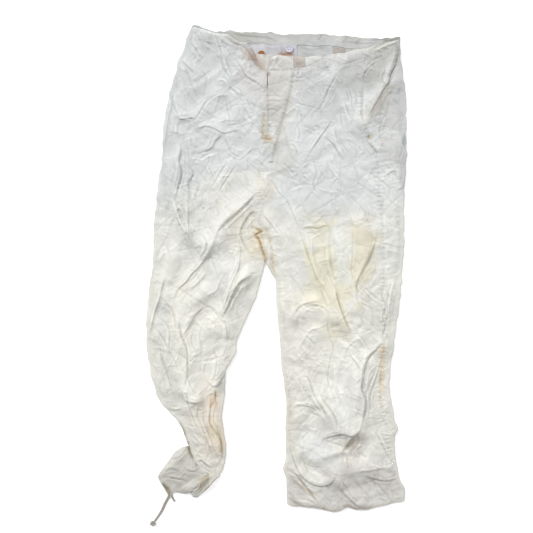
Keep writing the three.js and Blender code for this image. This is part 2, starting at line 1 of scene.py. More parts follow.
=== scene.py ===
import math
import bpy
import numpy as np
from mathutils.bvhtree import BVHTree
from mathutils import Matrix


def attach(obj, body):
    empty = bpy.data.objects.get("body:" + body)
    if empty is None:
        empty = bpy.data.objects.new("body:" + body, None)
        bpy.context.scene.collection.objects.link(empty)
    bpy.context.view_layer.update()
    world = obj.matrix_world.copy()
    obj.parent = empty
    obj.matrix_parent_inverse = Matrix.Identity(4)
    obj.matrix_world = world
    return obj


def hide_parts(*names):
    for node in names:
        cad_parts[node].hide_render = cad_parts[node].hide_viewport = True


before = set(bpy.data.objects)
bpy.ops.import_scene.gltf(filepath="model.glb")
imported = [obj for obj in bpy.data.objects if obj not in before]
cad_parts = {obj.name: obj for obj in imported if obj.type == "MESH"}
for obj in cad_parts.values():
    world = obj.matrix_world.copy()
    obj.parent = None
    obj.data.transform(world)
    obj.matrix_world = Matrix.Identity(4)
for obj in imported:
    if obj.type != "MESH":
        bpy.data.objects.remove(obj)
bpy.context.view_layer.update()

mm = 0.001
cloth = {"thickness": 0.8, "fold": 1.65}

# The fold edges of the legs as they lie, at heights from the waist down
rightLeg = [  # height, side fold, inner edge
    (536, -184, -20), (500, -199, -20), (437, -221, -20.5), (375, -239, -20.5), (305, -248, -20.5),
    (262, -251, -28), (226, -254, -36), (146, -265, -40), (80, -270, -33), (54, -270, -33),
    (14, -271, -25), (-12, -275, -30), (-65, -282, -45), (-118, -287, -69), (-160, -286, -88),
    (-186, -284, -88), (-201, -282, -98), (-228, -277, -112), (-280, -262, -113), (-302, -250, -117),
    (-329, -221, -120), (-355, -206, -116), (-391, -193, -110), (-428, -180, -113),
    (-444, -160, -118), (-452, -149, -125),
]
leftLeg = [  # height, side fold, inner edge, how far the back wraps over to the side seam
    (509, 272, 41, 55), (463, 273, 41, 58), (437, 277, 40, 70), (410, 280, 36, 88), (384, 285, 25, 100),
    (338, 286, 13, 101), (291, 286, 4, 88), (255, 286, -4, 72), (240, 285, -22, 68), (226, 284, -35, 62),
    (146, 281, -39, 54), (80, 280, -32, 48), (54, 280, -32, 46), (14, 278, -24, 44), (-9, 276, -13, 42),
    (-22, 275, -2, 41), (-65, 272, -1, 40), (-144, 261, 6, 26), (-223, 251, 12, 20), (-256, 249, 17, 22),
    (-302, 254, 22, 24), (-351, 266, 20, 26), (-382, 258, 21, 16), (-417, 262, 21, 10),
    (-439, 266, 14, 9), (-463, 272, 22, 9), (-492, 284, 22, 12), (-518, 277, 23, 12),
]
crotch = (-22, 18)
legEnd = -452

# The waist's edges and the open hem, from side to side
backWaist = [
    (-200, 530), (-184, 536), (-160, 529), (-135, 519), (-107, 524), (-72, 520), (-10, 518), (16, 513),
    (34, 516), (96, 517), (151, 512), (184, 508), (239, 506), (272, 509),
]
rightWaist = [
    (-200, 525), (-184, 532), (-160, 526), (-135, 517), (-107, 515), (-82, 498), (-65, 495), (-54, 483),
    (-50, 468), (-32, 446), (-18, 430),
]
leftWaist = [
    (-20, 440), (-12, 464), (8, 468), (65, 464), (113, 471), (146, 473), (168, 480), (199, 483),
    (223, 492), (250, 499), (272, 504),
]
leftHem = [
    (20, -517), (56, -524), (96, -528), (127, -535), (144, -531), (154, -523), (173, -530), (197, -530),
    (237, -520), (284, -510),
]
rightBandFoot = [
    (-210, 500), (-196, 505), (-164, 501), (-139, 491), (-116, 488), (-96, 473), (-80, 467), (-74, 460),
    (-70, 448), (-50, 418), (-18, 396),
]
leftBandFoot = [
    (-20, 434), (20, 437), (65, 436), (113, 443), (146, 446), (168, 452), (199, 458), (223, 466),
    (250, 474), (272, 480),
]
backBandFoot = [
    (-200, 504), (-160, 500), (-107, 496), (-50, 494), (34, 492), (96, 491), (160, 484), (199, 483),
    (239, 480), (272, 480),
]
casingHeight = 24

# Creases read off the cloth: kind, width, height, path. A fold drops steeply on the right of its path.
creases = [
    ("valley", 1.8, 2, [(-1, 173), (19, 153), (34, 124), (50, 85)]),
    ("valley", 1.6, 1.8, [(50, 85), (56, 65), (67, 32), (80, -3), (91, -25), (105, -47), (118, -74)]),
    ("valley", 1.6, 1.2, [(58, 78), (67, 41), (74, 10)]),
    ("fold", 5, 2.2, [(52, 87), (74, 91), (91, 89), (102, 94), (118, 94)]),
    ("ridge", 2, 1.6, [(76, 80), (77, 41), (80, 14), (89, -12)]),
    ("fold", 5, 2.4, [(131, -38), (127, -25), (118, 6), (115, 41), (113, 78)]),
    ("valley", 1.6, 1.6, [(168, 89), (167, 63), (166, 28), (164, -3), (166, -25), (162, -47)]),
    ("fold", 8, 3.5, [(184, -89), (182, -69), (175, -47), (175, -30), (188, -3), (204, 28), (215, 58),
     (219, 85)]),
    ("valley", 2, 2.6, [(173, -34), (176, -65), (183, -87)]),
    ("fold", 10, 4.5, [(164, -144), (155, -127), (144, -100), (135, -74), (127, -38)]),
    ("ridge", 4, 2.6, [(80, 6), (91, -21), (102, -43), (113, -74), (118, -91)]),
    ("fold", 10, 3, [(34, -109), (47, -87), (65, -76), (87, -72), (105, -76)]),
    ("valley", 1.8, 2, [(52, -91), (69, -82), (91, -82), (109, -91), (118, -109)]),
    ("valley", 1.6, 1.6, [(179, -34), (197, -47), (219, -65), (237, -74)]),
    ("valley", 1.8, 2, [(179, -38), (201, -61), (226, -82)]),
    ("valley", 1.6, 1.4, [(184, -74), (197, -82), (215, -91)]),
    ("valley", 2, 2.4, [(230, -38), (232, -65), (239, -82), (234, -109), (239, -127), (232, -153)]),
    ("ridge", 3, 2, [(258, -21), (250, -56), (245, -91), (250, -118)]),
    ("fold", 14, 6.5, [(182, -355), (190, -320), (193, -289), (184, -263), (188, -232), (193, -210),
     (201, -193), (219, -175), (239, -155)]),
    ("valley", 1.8, 2.2, [(223, -210), (210, -241), (197, -272), (195, -311)]),
    ("valley", 1.8, 2.4, [(232, -193), (226, -215), (215, -250), (206, -280), (204, -311), (195, -338)]),
    ("valley", 1.6, 1.6, [(219, -267), (206, -307), (201, -342)]),
    ("fold", 6, 3, [(160, -188), (175, -206), (184, -223)]),
    ("ridge", 3, 2, [(162, -166), (179, -153), (195, -175), (190, -206)]),
    ("valley", 1.6, 1.4, [(179, -153), (170, -162), (157, -175), (151, -193), (146, -210)]),
    ("valley", 1.6, 1.6, [(111, -109), (113, -135), (118, -157), (124, -170), (127, -188)]),
    ("valley", 1.5, 1.2, [(65, -148), (91, -175)]),
    ("valley", 1.5, 1.2, [(61, -144), (87, -170)]),
    ("ridge", 2.5, 1.6, [(43, -179), (61, -153), (74, -135), (96, -127), (118, -113)]),
    ("valley", 1.6, 1.3, [(127, -162), (118, -201), (113, -232), (113, -250), (122, -272), (131, -302)]),
    ("ridge", 6, 3, [(135, -197), (129, -223), (133, -250), (144, -285), (162, -320)]),
    ("valley", 2.2, 2.8, [(47, -241), (65, -237), (74, -250), (80, -272), (91, -294), (105, -316),
     (113, -338)]),
    ("fold", 7, 3.5, [(113, -333), (96, -316), (82, -302), (65, -276), (52, -250)]),
    ("valley", 2.2, 2.8, [(98, -280), (109, -298), (122, -316), (131, -338), (131, -355)]),
    ("valley", 1.6, 1.6, [(113, -298), (135, -320)]),
    ("fold", 6, 2.6, [(34, -307), (47, -300), (74, -302), (91, -311)]),
    ("valley", 1.6, 1.3, [(52, -311), (74, -316), (96, -324)]),
    ("valley", 1.5, 1.2, [(43, -355), (56, -338), (74, -324)]),
    ("valley", 1.5, 1.2, [(52, -377), (74, -355)]),
    ("valley", 1.5, 1, [(65, -382), (105, -391)]),
    ("fold", 12, 5.5, [(96, -375), (127, -366), (144, -362), (162, -366), (175, -360), (186, -346)]),
    ("valley", 2, 2.4, [(105, -377), (131, -384), (148, -391)]),
    ("fold", 9, 5, [(140, -404), (151, -391), (162, -375), (177, -361)]),
    ("valley", 2.2, 2.2, [(177, -362), (179, -382), (166, -399), (160, -404)]),
    ("valley", 1.8, 1.8, [(157, -413), (155, -430), (160, -439)]),
    ("valley", 1.6, 1.4, [(148, -399), (144, -426)]),
    ("fold", 8, 4.5, [(32, -377), (35, -404), (43, -430), (56, -454), (78, -471), (102, -476),
     (120, -468), (129, -448), (133, -435)]),
    ("valley", 2.2, 2.6, [(21, -441), (43, -452), (61, -474), (74, -492), (91, -514), (100, -522)]),
    ("valley", 1.8, 2, [(25, -452), (47, -461), (74, -487), (100, -505)]),
    ("fold", 8, 3.5, [(135, -474), (148, -492), (166, -509), (179, -520), (193, -527)]),
    ("valley", 1.8, 2, [(142, -461), (153, -483), (170, -505), (184, -514)]),
    ("ridge", 3, 1.6, [(162, -443), (184, -441), (206, -439), (232, -435), (263, -439)]),
    ("valley", 1.8, 2, [(215, -355), (228, -377), (241, -404), (250, -421), (267, -443)]),
    ("valley", 1.6, 1.5, [(226, -351), (245, -399), (254, -417)]),
    ("fold", 7, 3, [(188, -452), (215, -461), (237, -465), (267, -461)]),
    ("valley", 2.2, 2.4, [(219, -470), (232, -487), (250, -505)]),
    ("valley", 1.8, 1.8, [(206, -461), (223, -487)]),
    ("valley", 1.6, 1.5, [(38, -505), (74, -509), (96, -527)]),
    ("valley", 1.5, 1.2, [(162, -452), (179, -474), (215, -514)]),
    ("valley", 1.5, 1.1, [(52, -421), (78, -435), (113, -435)]),
    ("valley", 1.8, 2.2, [(-192, 499), (-177, 479), (-163, 457)]),
    ("valley", 1.8, 2, [(-210, 459), (-198, 444), (-179, 426)]),
    ("fold", 7, 3.2, [(-170, 367), (-187, 400), (-199, 433), (-212, 451)]),
    ("valley", 1.8, 2.2, [(-143, 517), (-132, 505), (-126, 488), (-122, 473), (-119, 451), (-117, 440),
     (-106, 422), (-95, 407)]),
    ("fold", 6, 2.6, [(-95, 411), (-99, 422), (-106, 440), (-113, 459), (-126, 479)]),
    ("valley", 1.6, 1.4, [(-130, 484), (-128, 462), (-121, 444)]),
    ("valley", 1.6, 1.8, [(-97, 466), (-78, 440), (-66, 420), (-44, 406), (-25, 391)]),
    ("ridge", 2.2, 1.8, [(-73, 433), (-62, 422), (-42, 410), (-23, 396)]),
    ("fold", 6, 3, [(-106, 400), (-91, 391), (-80, 376)]),
    ("valley", 1.6, 1.5, [(-78, 378), (-78, 389), (-95, 400)]),
    ("ridge", 3, 2, [(-132, 411), (-117, 413), (-106, 400), (-106, 385)]),
    ("valley", 1.8, 2.2, [(-132, 382), (-152, 367), (-168, 341), (-183, 319)]),
    ("valley", 1.6, 1.6, [(-111, 367), (-106, 341), (-102, 323), (-108, 314)]),
    ("ridge", 2.5, 1.4, [(-126, 385), (-135, 356), (-141, 341)]),
    ("fold", 6, 2.6, [(-183, 312), (-168, 308), (-154, 312), (-132, 305), (-117, 297), (-95, 301),
     (-73, 305)]),
    ("valley", 1.5, 1.2, [(-117, 312), (-88, 316), (-62, 327), (-44, 338)]),
    ("fold", 7, 3, [(-176, 253), (-161, 257), (-143, 264), (-132, 283), (-117, 294)]),
    ("valley", 1.6, 1.6, [(-117, 294), (-110, 275), (-95, 250), (-73, 242)]),
    ("valley", 1.6, 1.6, [(-139, 290), (-146, 272), (-157, 261)]),
    ("valley", 1.6, 1.5, [(-187, 290), (-185, 268), (-168, 264)]),
    ("fold", 6, 3, [(-220, 338), (-209, 327), (-187, 330), (-176, 327)]),
    ("ridge", 3, 2, [(-214, 327), (-220, 312), (-221, 290)]),
    ("fold", 6, 3.5, [(-231, 231), (-247, 242), (-247, 268), (-242, 297), (-238, 327), (-231, 356),
     (-234, 382)]),
    ("valley", 2, 2.4, [(-232, 389), (-229, 371), (-223, 349), (-212, 330)]),
    ("fold", 9, 5, [(-220, 151), (-218, 173), (-212, 195), (-210, 217), (-214, 235), (-210, 261),
     (-220, 275)]),
    ("fold", 7, 3.5, [(-187, 151), (-194, 180), (-192, 195), (-183, 206), (-194, 220), (-212, 239)]),
    ("valley", 1.6, 1.4, [(-194, 268), (-192, 235), (-190, 220)]),
    ("valley", 2, 2.6, [(-106, 235), (-121, 213), (-132, 195), (-143, 176)]),
    ("valley", 2, 2.6, [(-88, 228), (-102, 206), (-117, 184), (-128, 165)]),
    ("valley", 1.6, 1.6, [(-150, 224), (-143, 209), (-137, 195)]),
    ("valley", 1.6, 1.6, [(-168, 187), (-176, 162), (-179, 151)]),
    ("valley", 1.5, 1.2, [(-113, 257), (-88, 239), (-73, 242), (-44, 272)]),
    ("valley", 1.5, 1.2, [(-146, 253), (-150, 231), (-168, 202)]),
    ("ridge", 3, 1.6, [(-168, 231), (-150, 246), (-124, 253)]),
    ("valley", 1.5, 1.2, [(-66, 374), (-55, 349), (-44, 341)]),
    ("valley", 1.5, 1.2, [(-168, 437), (-154, 418), (-157, 393)]),
    ("valley", 1.5, 1, [(-73, 356), (-58, 330), (-40, 319)]),
    ("valley", 2.2, 2.6, [(213, 451), (195, 429), (189, 400), (189, 371), (186, 341), (189, 312)]),
    ("fold", 13, 3.6, [(195, 327), (202, 338), (217, 363), (231, 389), (244, 407), (250, 426),
     (261, 448), (268, 477)]),
    ("valley", 3, 2.6, [(269, 492), (267, 470), (259, 444), (248, 422), (245, 406)]),
    ("valley", 2.2, 2.4, [(239, 437), (231, 415), (237, 400)]),
    ("ridge", 3, 2, [(209, 473), (231, 484), (253, 494), (266, 501)]),
    ("valley", 1.8, 2, [(209, 481), (231, 492), (253, 499), (264, 506)]),
    ("valley", 1.5, 1.2, [(136, 444), (173, 455), (195, 462)]),
    ("valley", 1.6, 1.6, [(195, 440), (209, 455), (231, 466)]),
    ("valley", 1.5, 1.3, [(35, 426), (48, 417), (63, 422)]),
    ("valley", 1.8, 2.4, [(136, 433), (125, 411), (114, 393), (107, 374), (92, 349), (81, 341)]),
    ("fold", 8, 4, [(169, 316), (158, 338), (151, 356), (145, 369)]),
    ("valley", 1.6, 1.6, [(158, 396), (165, 374), (165, 356), (173, 338)]),
    ("valley", 1.6, 1.6, [(165, 400), (175, 382), (176, 356)]),
    ("valley", 1.5, 1.3, [(151, 393), (158, 374), (162, 352)]),
    ("valley", 1.6, 1.5, [(140, 341), (142, 319), (147, 305)]),
    ("valley", 1.6, 1.5, [(54, 341), (55, 327), (59, 316)]),
    ("valley", 1.6, 1.6, [(43, 319), (50, 297), (48, 275)]),
    ("fold", 7, 3.2, [(70, 250), (81, 268), (96, 290), (107, 305), (121, 327)]),
    ("fold", 8, 3.4, [(154, 242), (143, 261), (132, 283), (125, 312)]),
    ("valley", 1.8, 2, [(103, 290), (121, 275), (136, 253), (147, 235)]),
    ("valley", 1.8, 2, [(136, 290), (147, 268), (158, 253)]),
    ("valley", 1.6, 1.5, [(33, 275), (44, 257), (43, 242)]),
    ("valley", 1.8, 1.8, [(81, 246), (85, 224), (88, 206), (81, 187), (88, 165)]),
    ("ridge", 3, 2, [(116, 235), (121, 217), (132, 202), (143, 191)]),
    ("valley", 1.6, 1.4, [(165, 235), (173, 217), (180, 195)]),
    ("valley", 1.8, 2.2, [(202, 275), (213, 261), (224, 250)]),
    ("valley", 1.6, 1.6, [(195, 308), (202, 294), (200, 283)]),
    ("valley", 1.5, 1.2, [(209, 330), (231, 338), (246, 327)]),
    ("valley", 1.6, 1.4, [(239, 341), (228, 312), (224, 290)]),
    ("valley", 1.6, 1.4, [(250, 371), (242, 341), (239, 319)]),
    ("valley", 1.5, 1.1, [(224, 231), (246, 237), (264, 235)]),
    ("fold", 6, 2.6, [(231, 198), (253, 213), (264, 213), (264, 195)]),
    ("valley", 1.5, 1.2, [(209, 195), (231, 209)]),
    ("valley", 2, 2.6, [(281, 294), (279, 268), (286, 261)]),
    ("fold", 6, 3, [(261, 173), (279, 180), (285, 217)]),
    ("valley", 1.6, 1.6, [(30, 371), (44, 363), (70, 356), (96, 349)]),
    ("valley", 1.6, 1.4, [(55, 312), (70, 308), (96, 294)]),
    ("valley", 1.5, 1.3, [(48, 224), (63, 198), (81, 187)]),
    ("valley", 1.8, 2, [(-14, 195), (0, 176), (11, 154)]),
    ("valley", 1.6, 1.6, [(11, 235), (30, 217), (41, 202)]),
    ("valley", 1.5, 1.2, [(107, 213), (92, 195), (88, 180)]),
    ("fold", 12, 6, [(-157, 45), (-186, 72), (-206, 98), (-228, 164)]),
    ("fold", 8, 4, [(-168, 63), (-190, 85), (-193, 124), (-195, 173)]),
    ("valley", 2.4, 3, [(-168, 78), (-157, 65), (-153, 45), (-168, 19)]),
    ("fold", 9, 3.6, [(-226, -74), (-217, -47), (-199, -30), (-186, -12), (-168, 6), (-151, 28),
     (-138, 54), (-129, 85)]),
    ("fold", 14, 5, [(-131, 67), (-129, 80), (-116, 98), (-80, 129), (-41, 168)]),
    ("fold", 7, 3.6, [(-54, 28), (-72, 50), (-80, 72), (-78, 89), (-67, 109), (-54, 124), (-36, 120)]),
    ("valley", 2.4, 3, [(-61, 94), (-47, 89), (-34, 80), (-45, 74), (-36, 58), (-34, 45), (-25, 19)]),
    ("valley", 2, 2.4, [(-32, 118), (-14, 98), (-1, 80), (8, 67)]),
    ("valley", 2, 2.6, [(-19, 63), (-12, 45), (-10, 28), (-14, 6), (-8, -12), (3, -25)]),
    ("fold", 8, 3.6, [(-124, -100), (-111, -74), (-100, -38), (-89, -12), (-82, 6), (-80, 41), (-85, 63)]),
    ("fold", 10, 5.5, [(-122, -109), (-111, -91), (-102, -69), (-91, -47), (-80, -30), (-58, -16),
     (-47, -3)]),
    ("ridge", 5, 3, [(-155, -3), (-168, -25), (-195, -47)]),
    ("fold", 9, 4, [(-204, -148), (-195, -131), (-177, -100), (-155, -82)]),
    ("valley", 1.8, 2, [(-160, -87), (-142, -85), (-131, -100), (-124, -109)]),
    ("valley", 2.4, 3, [(-124, -109), (-111, -122), (-107, -144), (-109, -166)]),
    ("valley", 1.8, 2, [(-212, -109), (-210, -144), (-197, -175), (-195, -210), (-195, -237),
     (-206, -267)]),
    ("valley", 1.6, 1.6, [(-195, -237), (-188, -258), (-175, -276)]),
    ("fold", 8, 4, [(-206, -267), (-199, -289), (-177, -294), (-160, -289)]),
    ("valley", 1.8, 2, [(-138, -175), (-131, -206), (-138, -241), (-153, -245)]),
    ("fold", 9, 5, [(-153, -245), (-135, -258), (-120, -241), (-107, -219), (-89, -188)]),
    ("valley", 1.6, 1.5, [(-144, -188), (-155, -210), (-160, -237)]),
    ("valley", 1.8, 1.8, [(-221, -135), (-226, -100), (-243, -74), (-256, -61)]),
    ("fold", 7, 3.6, [(-280, -153), (-274, -127), (-265, -91), (-256, -65), (-250, -38), (-243, -12)]),
    ("valley", 1.6, 1.5, [(-274, -96), (-256, -109), (-234, -135), (-234, -179), (-221, -206),
     (-212, -232)]),
    ("fold", 7, 3.4, [(-230, 14), (-245, 50), (-267, 10)]),
    ("valley", 1.8, 2, [(-267, 6), (-274, -25), (-278, -47)]),
    ("valley", 3, 2.4, [(-256, -179), (-248, -206), (-234, -250), (-226, -276)]),
    ("fold", 6, 2.8, [(-243, -307), (-221, -310), (-206, -307)]),
    ("valley", 1.8, 1.8, [(-199, -272), (-190, -307), (-179, -338), (-164, -369)]),
    ("fold", 6, 3.5, [(-118, -421), (-120, -399), (-124, -373), (-138, -355), (-148, -338),
     (-146, -302), (-148, -272)]),
    ("valley", 1.8, 2.2, [(-133, -263), (-135, -289), (-144, -307)]),
    ("valley", 1.6, 1.8, [(-168, -294), (-173, -324), (-164, -346), (-151, -382), (-138, -417)]),
    ("valley", 1.6, 1.6, [(-155, -302), (-160, -333), (-146, -369), (-131, -413)]),
    ("valley", 2.2, 2.6, [(-217, -329), (-206, -351), (-199, -373), (-190, -404), (-179, -430)]),
    ("fold", 6, 3, [(-179, -426), (-164, -421), (-142, -439)]),
    ("valley", 1.8, 2, [(-177, -430), (-146, -448)]),
    ("fold", 6, 4, [(-140, -450), (-164, -465), (-173, -483), (-190, -487)]),
    ("valley", 2, 2.4, [(-243, -457), (-226, -461), (-204, -465), (-195, -474)]),
    ("valley", 1.8, 2, [(-208, -430), (-195, -443), (-168, -448)]),
    ("valley", 1.6, 1.8, [(-234, -421), (-212, -413), (-195, -395)]),
    ("ridge", 4, 2, [(-248, -443), (-230, -435), (-212, -441)]),
    ("valley", 1.6, 1.5, [(-234, -188), (-243, -162), (-261, -135)]),
    ("valley", 1.6, 1.5, [(-182, -135), (-186, -162), (-173, -188)]),
    ("valley", 1.5, 1.3, [(-155, -113), (-168, -144), (-164, -179), (-168, -215)]),
    ("ridge", 3, 2, [(-124, -21), (-133, -47), (-155, -61)]),
    ("valley", 1.5, 0.9, [(-26, 378), (-6, 380), (14, 377)]),
    ("valley", 1.5, 1.0, [(-26, 366), (0, 368), (18, 364)]),
    ("valley", 1.5, 0.8, [(-20, 357), (10, 356)]),
    ("valley", 1.5, 1.1, [(-34, 346), (-12, 349), (10, 345)]),
    ("valley", 1.5, 0.9, [(-40, 334), (-20, 337), (6, 335)]),
    ("valley", 1.5, 1.2, [(-38, 322), (-14, 325), (6, 321)]),
    ("valley", 1.5, 0.9, [(-42, 309), (-22, 313), (4, 310)]),
    ("valley", 1.5, 1.2, [(-40, 297), (-18, 300), (0, 298)]),
    ("valley", 1.5, 1.0, [(-38, 286), (-20, 284), (-4, 287)]),
    ("valley", 1.5, 0.9, [(-36, 272), (-20, 275), (-6, 273)]),
    ("valley", 1.6, 1.4, [(28, 469), (8, 468), (2, 461), (1, 452), (6, 443), (20, 441)]),
    ("valley", 1.6, 1.2, [(-12, 468), (-9, 455), (-14, 440)]),
    ("ridge", 2.4, 1.6, [(-108, 516), (-88, 498), (-66, 493), (-55, 478), (-45, 457), (-24, 432)]),
    ("valley", 1.6, 1.8, [(-113, 511), (-94, 494), (-73, 487), (-61, 472), (-50, 452), (-30, 430)]),
    ("valley", 1.6, 1.2, [(-120, 520), (-104, 508), (-96, 498)]),
    ("fold", 6, 2.4, [(-132, 514), (-118, 498), (-96, 486)]),
]

# Broad marks on the cloth: x, y, half width, half length, turn, colour, strength
marks = [
    (107, -20, 62, 118, 0, (225, 221, 200), 0.85),
    (190, 20, 34, 95, 0, (220, 215, 194), 0.85),
    (142, 42, 22, 74, 0, (229, 230, 223), 0.9),
    (-46, 58, 15, 32, 0, (208, 189, 150), 0.8),
    (-52, 40, 40, 40, 0, (226, 219, 200), 0.5),
    (-136, -345, 20, 84, 4, (219, 206, 187), 0.75),
    (150, -485, 112, 62, 0, (198, 195, 190), 0.8),
    (245, 350, 42, 130, 0, (206, 206, 203), 0.8),
    (86, 385, 60, 85, 0, (205, 206, 205), 0.75),
    (-186, 424, 58, 90, -12, (205, 208, 207), 0.6),
    (-228, 280, 30, 90, 0, (206, 208, 208), 0.6),
    (-150, -350, 36, 90, 0, (221, 212, 198), 0.6),
    (-243, -488, 10, 12, 0, (176, 158, 140), 0.9),
    # Painted shade in the notch between the right leg and its gathered ankle
    (-198, -384, 8, 8, 0, (146, 141, 120), 0.8),
    (-158, -470, 32, 24, 30, (192, 187, 172), 0.7),
    (225, -455, 40, 50, 0, (194, 190, 186), 0.7),
    (40, -190, 40, 90, 0, (219, 217, 209), 0.6),
    (-205, -435, 62, 62, 0, (213, 211, 202), 0.85),
    (235, -120, 42, 110, 0, (213, 213, 206), 0.75),
    (176, -385, 26, 26, 0, (200, 196, 187), 0.7),
    (-265, -80, 26, 80, 0, (217, 217, 209), 0.6),
    (-235, -215, 40, 70, 0, (221, 220, 211), 0.6),
    (2, 345, 30, 110, 4, (209, 206, 199), 0.8),
    (-22, 165, 22, 50, 0, (222, 214, 196), 0.5),
    (232, -230, 7, 66, 0, (222, 209, 189), 0.8),
    (20, -330, 16, 70, 0, (219, 212, 200), 0.6),
    (-60, 90, 100, 130, 30, (229, 227, 217), 0.5),
    (100, 510, 220, 22, 0, (201, 202, 199), 0.85),
    (-130, 505, 40, 20, 0, (203, 204, 202), 0.6),
    # Painted shade along the side fold of the left leg
    (274, 337, 15, 120, 0, (197, 199, 199), 0.9),
    # Painted shade: a dark spot at the same edge
    (280, 283, 5, 14, 0, (170, 172, 174), 0.8),
    (-19, 289, 14, 10, 0, (208, 196, 172), 0.55),
    (-30, 310, 9, 34, 0, (203, 198, 184), 0.6),
    (238, 498, 46, 11, 14, (174, 173, 164), 0.8),
    (-160.6, 133, 1.6, 1.6, 0, (96, 96, 92), 0.9),
    (-80, 287, 2, 1.6, 0, (110, 112, 112), 0.8),
    (96, 460, 2, 4, 10, (160, 156, 146), 0.6),
    (101, 455, 1.6, 3, -20, (150, 144, 132), 0.5),
    (50, 395, 14, 14, 0, (206, 205, 200), 0.6),
    (110, 380, 50, 46, -30, (203, 205, 206), 0.7),
    (150, 460, 90, 20, 6, (204, 203, 199), 0.6),
    (20, 446, 40, 16, 0, (211, 208, 200), 0.6),
    (-34, 444, 12, 26, -20, (206, 200, 190), 0.5),
    (-60, 470, 24, 14, 0, (205, 192, 184), 0.5),
    (-222, 470, 24, 60, -20, (202, 205, 205), 0.5),
    (-48, 405, 30, 40, 0, (214, 208, 205), 0.5),
    # Painted shade along the same edge, further down
    (279, 210, 10, 60, 0, (192, 193, 190), 0.7),
    # Painted shadow at the top of the deep fold at the left hip
    (262, 470, 20, 26, -20, (186, 188, 184), 0.8),
    # Painted shadow along the same fold, lower down
    (212, 345, 22, 50, -40, (203, 202, 197), 0.8),
    (178, 395, 44, 36, 0, (202, 204, 205), 0.7),
    # Painted shade along the outer edge of the right leg
    (-240, 160, 12, 80, 6, (203, 206, 203), 0.7),
    (-196, 130, 14, 60, 0, (212, 213, 207), 0.6),
    (87, -395, 40, 38, 8, (222, 223, 222), 0.7),
    (150, -280, 30, 80, -4, (223, 223, 219), 0.6),
    # Painted shade under the hanging fold on the lower left leg, nearer the middle
    (130, -375, 40, 18, 0, (204, 203, 197), 0.8),
    # Painted shadow under the same hanging fold
    (165, -386, 16, 14, 0, (190, 184, 172), 0.5),
    (-65, 105, 60, 34, 40, (227, 222, 209), 0.6),
    (-252, -120, 22, 50, 0, (206, 208, 202), 0.6),
    (172, 436, 44, 66, -24, (195, 196, 193), 0.75),
    (222, 436, 24, 64, -28, (184, 185, 181), 0.85),
    (-150, 486, 90, 34, -14, (203, 205, 204), 0.7),
    (225, 488, 50, 14, 14, (196, 195, 188), 0.7),
    (-235, -270, 26, 40, 20, (210, 210, 202), 0.7),
    (-120, -250, 20, 26, 30, (196, 196, 188), 0.7),
    (-190, 60, 28, 40, 0, (208, 210, 205), 0.5),
]

